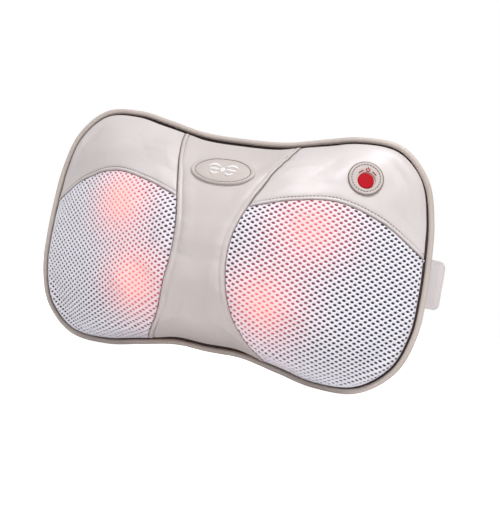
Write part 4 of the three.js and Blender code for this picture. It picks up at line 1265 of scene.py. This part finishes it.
# Rows across the strap, closest at its hems, and the hems' relief as (from the edge, rise).
STRAP_ROWS = np.array([
    0, 0.012, 0.03, 0.06, 0.085, 0.11, 0.3, 0.5, 0.7, 0.89, 0.915, 0.94, 0.97, 0.988, 1])
STRAP_RELIEF = [
    (0, -0.25), (0.5, 0.1), (1.2, 0.2), (2.6, 0.12), (3.2, -0.08), (4.4, 0.15), (12, 0.2)]


def straps():
    route = strap_route()
    low, high = STRAP_EDGES
    for name, side in SIDES:
        t = np.linspace(0, 1, 120)
        xy = route(t)
        along = unit(np.gradient(xy, axis=0))
        out = np.stack([-along[:, 1], along[:, 0]], -1)
        v = STRAP_ROWS
        rise = np.interp(np.minimum(v, 1 - v) * (high - low), *zip(*STRAP_RELIEF))
        into_fold = np.clip(STRAP_CORNER - (xy[:, 0].max() - xy[:, 0]), 0, STRAP_CORNER)
        pull = STRAP_CORNER - np.sqrt(STRAP_CORNER ** 2 - into_fold ** 2)
        z = low + pull[:, None] + (high - low - 2 * pull[:, None]) * v[None]
        ripple = 0.15 * np.sin(t * route.length / 6)[:, None] * np.cos(v * 9)[None]
        flat = xy[:, None] + (rise[None] + ripple)[..., None] * out[:, None]
        points = np.stack([side * flat[..., 0], flat[..., 1], z], -1)
        piece = new_mesh(f"strap_{name}_web", points, grid_faces(120, len(v)), LEATHER,
                         facing=(0, 1, 0))
        thicken(piece, STRAP_THICK)
        on_cushion(piece, f"strap_{name}")


def elastic():
    low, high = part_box("strap_elastic")
    x = np.linspace(low.x / MM, high.x / MM, 240)
    z = np.linspace(STRAP_EDGES[0], STRAP_EDGES[1], 40)
    xx, zz = np.meshgrid(x, z, indexing="ij")
    ribs = 0.16 * np.cos(zz * 2 * math.pi / 2.6)
    gather = 0.12 * np.cos(xx * 2 * math.pi / 3.4 + 0.6 * np.sin(zz / 6))
    points = np.stack([xx, high.y / MM - 0.3 + ribs + gather, zz], -1)
    piece = new_mesh("strap_elastic_web", points, grid_faces(*xx.shape), ELASTIC, facing=(0, 1, 0))
    thicken(piece, 1.2)
    on_cushion(piece, "strap_elastic")


# ---------------------------------------------------------------- inner soft pieces
def inner_foam():
    for node, name, voxel, cap in (("foam_ring", "padding_ring", 5.0, 2.0),
                                   ("back_foam", "back_padding", 4.0, 0.4)):
        piece = swollen_copy(node, name, FOAM, voxel, cap, 2.0)
        on_cushion(piece, node)


# ---------------------------------------------------------------- carried-over CAD nodes
def finish_cad_nodes():
    """Materials for the CAD nodes that stay: mechanics and electrics."""
    by_slot = {
        "housing_plastic": moulded("housing_plastic", srgb(46, 47, 52), 0.55),
        "gear_plastic": moulded("gear_plastic", srgb(238, 236, 228), 0.42, 700),
        "black_plastic": moulded("black_plastic", srgb(26, 26, 28), 0.45),
        "steel": metal("steel", srgb(196, 199, 204), 0.26),
        "zipper_metal": metal("zipper_metal", srgb(176, 174, 172), 0.34, (300, 300, 300)),
        "brass": metal("brass", srgb(196, 158, 88), 0.3, (900, 900, 40)),
        # painted light: the nodes' red plastic emits as if lit by the lamp inside
        "node_plastic": glowing_plastic("node_plastic", srgb(214, 60, 46), srgb(255, 70, 40), 1.4),
        "lamp_glass": glowing_plastic("lamp_glass", srgb(250, 236, 220), srgb(255, 170, 110), 6.0),
        "circuit_board": circuit_board_material(),
        "red_button": RED_BUTTON,
    }
    for row in frame["record"]["subparts"]:
        if row["material_slot"] in by_slot:
            node = NODES[row["node"]]
            node.data.materials.clear()
            node.data.materials.append(by_slot[row["material_slot"]])


def soften_edges(*names, width=0.25):
    """Rounds the edges of moulded CAD nodes that are seen."""
    for name in names:
        bevel = NODES[name].modifiers.new("Bevel", "BEVEL")
        bevel.width = width * MM
        bevel.segments = 3
        bevel.limit_method = "ANGLE"
        bevel.angle_limit = math.radians(40)


# ---------------------------------------------------------------- camera, light, floor
FOCAL_LENGTH = 65.47
CAMERA_DISTANCE = 0.8
CAMERA_TURN = (math.radians(20.39), math.radians(-0.19), math.radians(10.0))
CAMERA_SHIFT = (0.0513, 0.0009)
AMBIENT = 0.41                # the white room's light; the camera sees the room as pure white


def camera():
    turn, tilt, roll = CAMERA_TURN
    back = Vector((math.sin(turn) * math.cos(tilt), -math.cos(turn) * math.cos(tilt),
                   math.sin(tilt)))
    lens = bpy.data.cameras.new("camera")
    lens.lens = FOCAL_LENGTH
    lens.shift_x, lens.shift_y = CAMERA_SHIFT
    lens.clip_start, lens.clip_end = 0.05, 20
    eye = add_object("camera", lens)
    right = Vector((math.cos(turn), math.sin(turn), 0))
    up = back.cross(right)
    rolled_right = right * math.cos(roll) + up * math.sin(roll)
    rolled_up = up * math.cos(roll) - right * math.sin(roll)
    axes = Matrix((rolled_right, rolled_up, back)).transposed().to_4x4()
    eye.matrix_world = Matrix.Translation(Vector((0, 0, HUB_Z * MM)) + back * CAMERA_DISTANCE) @ axes
    bpy.context.scene.camera = eye


def area_light(name, place, size, watts):
    lamp = bpy.data.lights.new(name, "AREA")
    lamp.shape = "RECTANGLE"
    lamp.size, lamp.size_y = size
    lamp.energy = watts
    holder = add_object(name, lamp)
    holder.location = place
    aim = Vector((0, 0, HUB_Z * MM)) - Vector(place)
    holder.rotation_mode = "QUATERNION"
    holder.rotation_quaternion = aim.to_track_quat("-Z", "Y")


def light():
    area_light("key", (0.3, -0.6, 1.4), (0.8, 0.5), 15.0)
    area_light("left_fill", (-1.3, -0.7, 0.35), (0.7, 1.0), 0.2)
    area_light("right_fill", (1.1, -0.9, 0.3), (0.5, 0.9), 1.8)
    area_light("rear_fill", (0.2, 1.4, 0.9), (1.2, 0.7), 5.0)
    world = bpy.data.worlds.new("studio")
    world.use_nodes = True
    nodes, links = world.node_tree.nodes, world.node_tree.links
    shade = nodes["Background"]
    shade.inputs["Color"].default_value = (1.0, 1.0, 1.0, 1)
    seen = nodes.new("ShaderNodeLightPath")
    strength = nodes.new("ShaderNodeMapRange")
    strength.inputs["To Min"].default_value = AMBIENT
    strength.inputs["To Max"].default_value = 1.0
    links.new(seen.outputs["Is Camera Ray"], strength.inputs["Value"])
    links.new(strength.outputs["Result"], shade.inputs["Strength"])
    bpy.context.scene.world = world
    view = bpy.context.scene.view_settings
    view.view_transform = "Standard"
    view.look = "None"


def floor():
    size = 3.0
    corners = [(-size, -size, 0), (size, -size, 0), (size, size, 0), (-size, size, 0)]
    mesh = bpy.data.meshes.new("floor")
    mesh.from_pydata(corners, [], [(0, 1, 2, 3)])
    shader = Shader("floor_white", Roughness=1.0, Specular_IOR_Level=0.0)
    shader.principled.inputs["Base Color"].default_value = (0.75, 0.75, 0.75, 1)
    shader.principled.inputs["Emission Color"].default_value = (1, 1, 1, 1)
    seen = shader.node("ShaderNodeLightPath").outputs["Is Camera Ray"]
    shader.set("Emission Strength", shader.between(seen, 0.18, 1.0))
    mesh.materials.append(shader.material)
    plane = add_object("floor", mesh)
    plane.location.z = -0.0005


# ---------------------------------------------------------------- build
camera()
light()
floor()
swell_table = simulate_cover()
leather_panels()
cover_stitches()
seam_shade_cords()
mesh_windows()
piping("front_piping_cord", 0.0, "front_piping")
piping("rear_piping_cord", REAR_Y, "rear_piping")
groove_shade_strip("front_groove_shade", 0.0, 1, FRONT_GROOVE_SHADE)
groove_shade_strip("rear_groove_shade", REAR_Y, -1, REAR_GROOVE_SHADE)
side_panels()
badge()
button_patch()
back_panels()
zipper_cloth()
zipper_teeth()
straps()
elastic()
inner_foam()
finish_cad_nodes()
soften_edges("power_button", "zipper_slider", "zipper_pull")
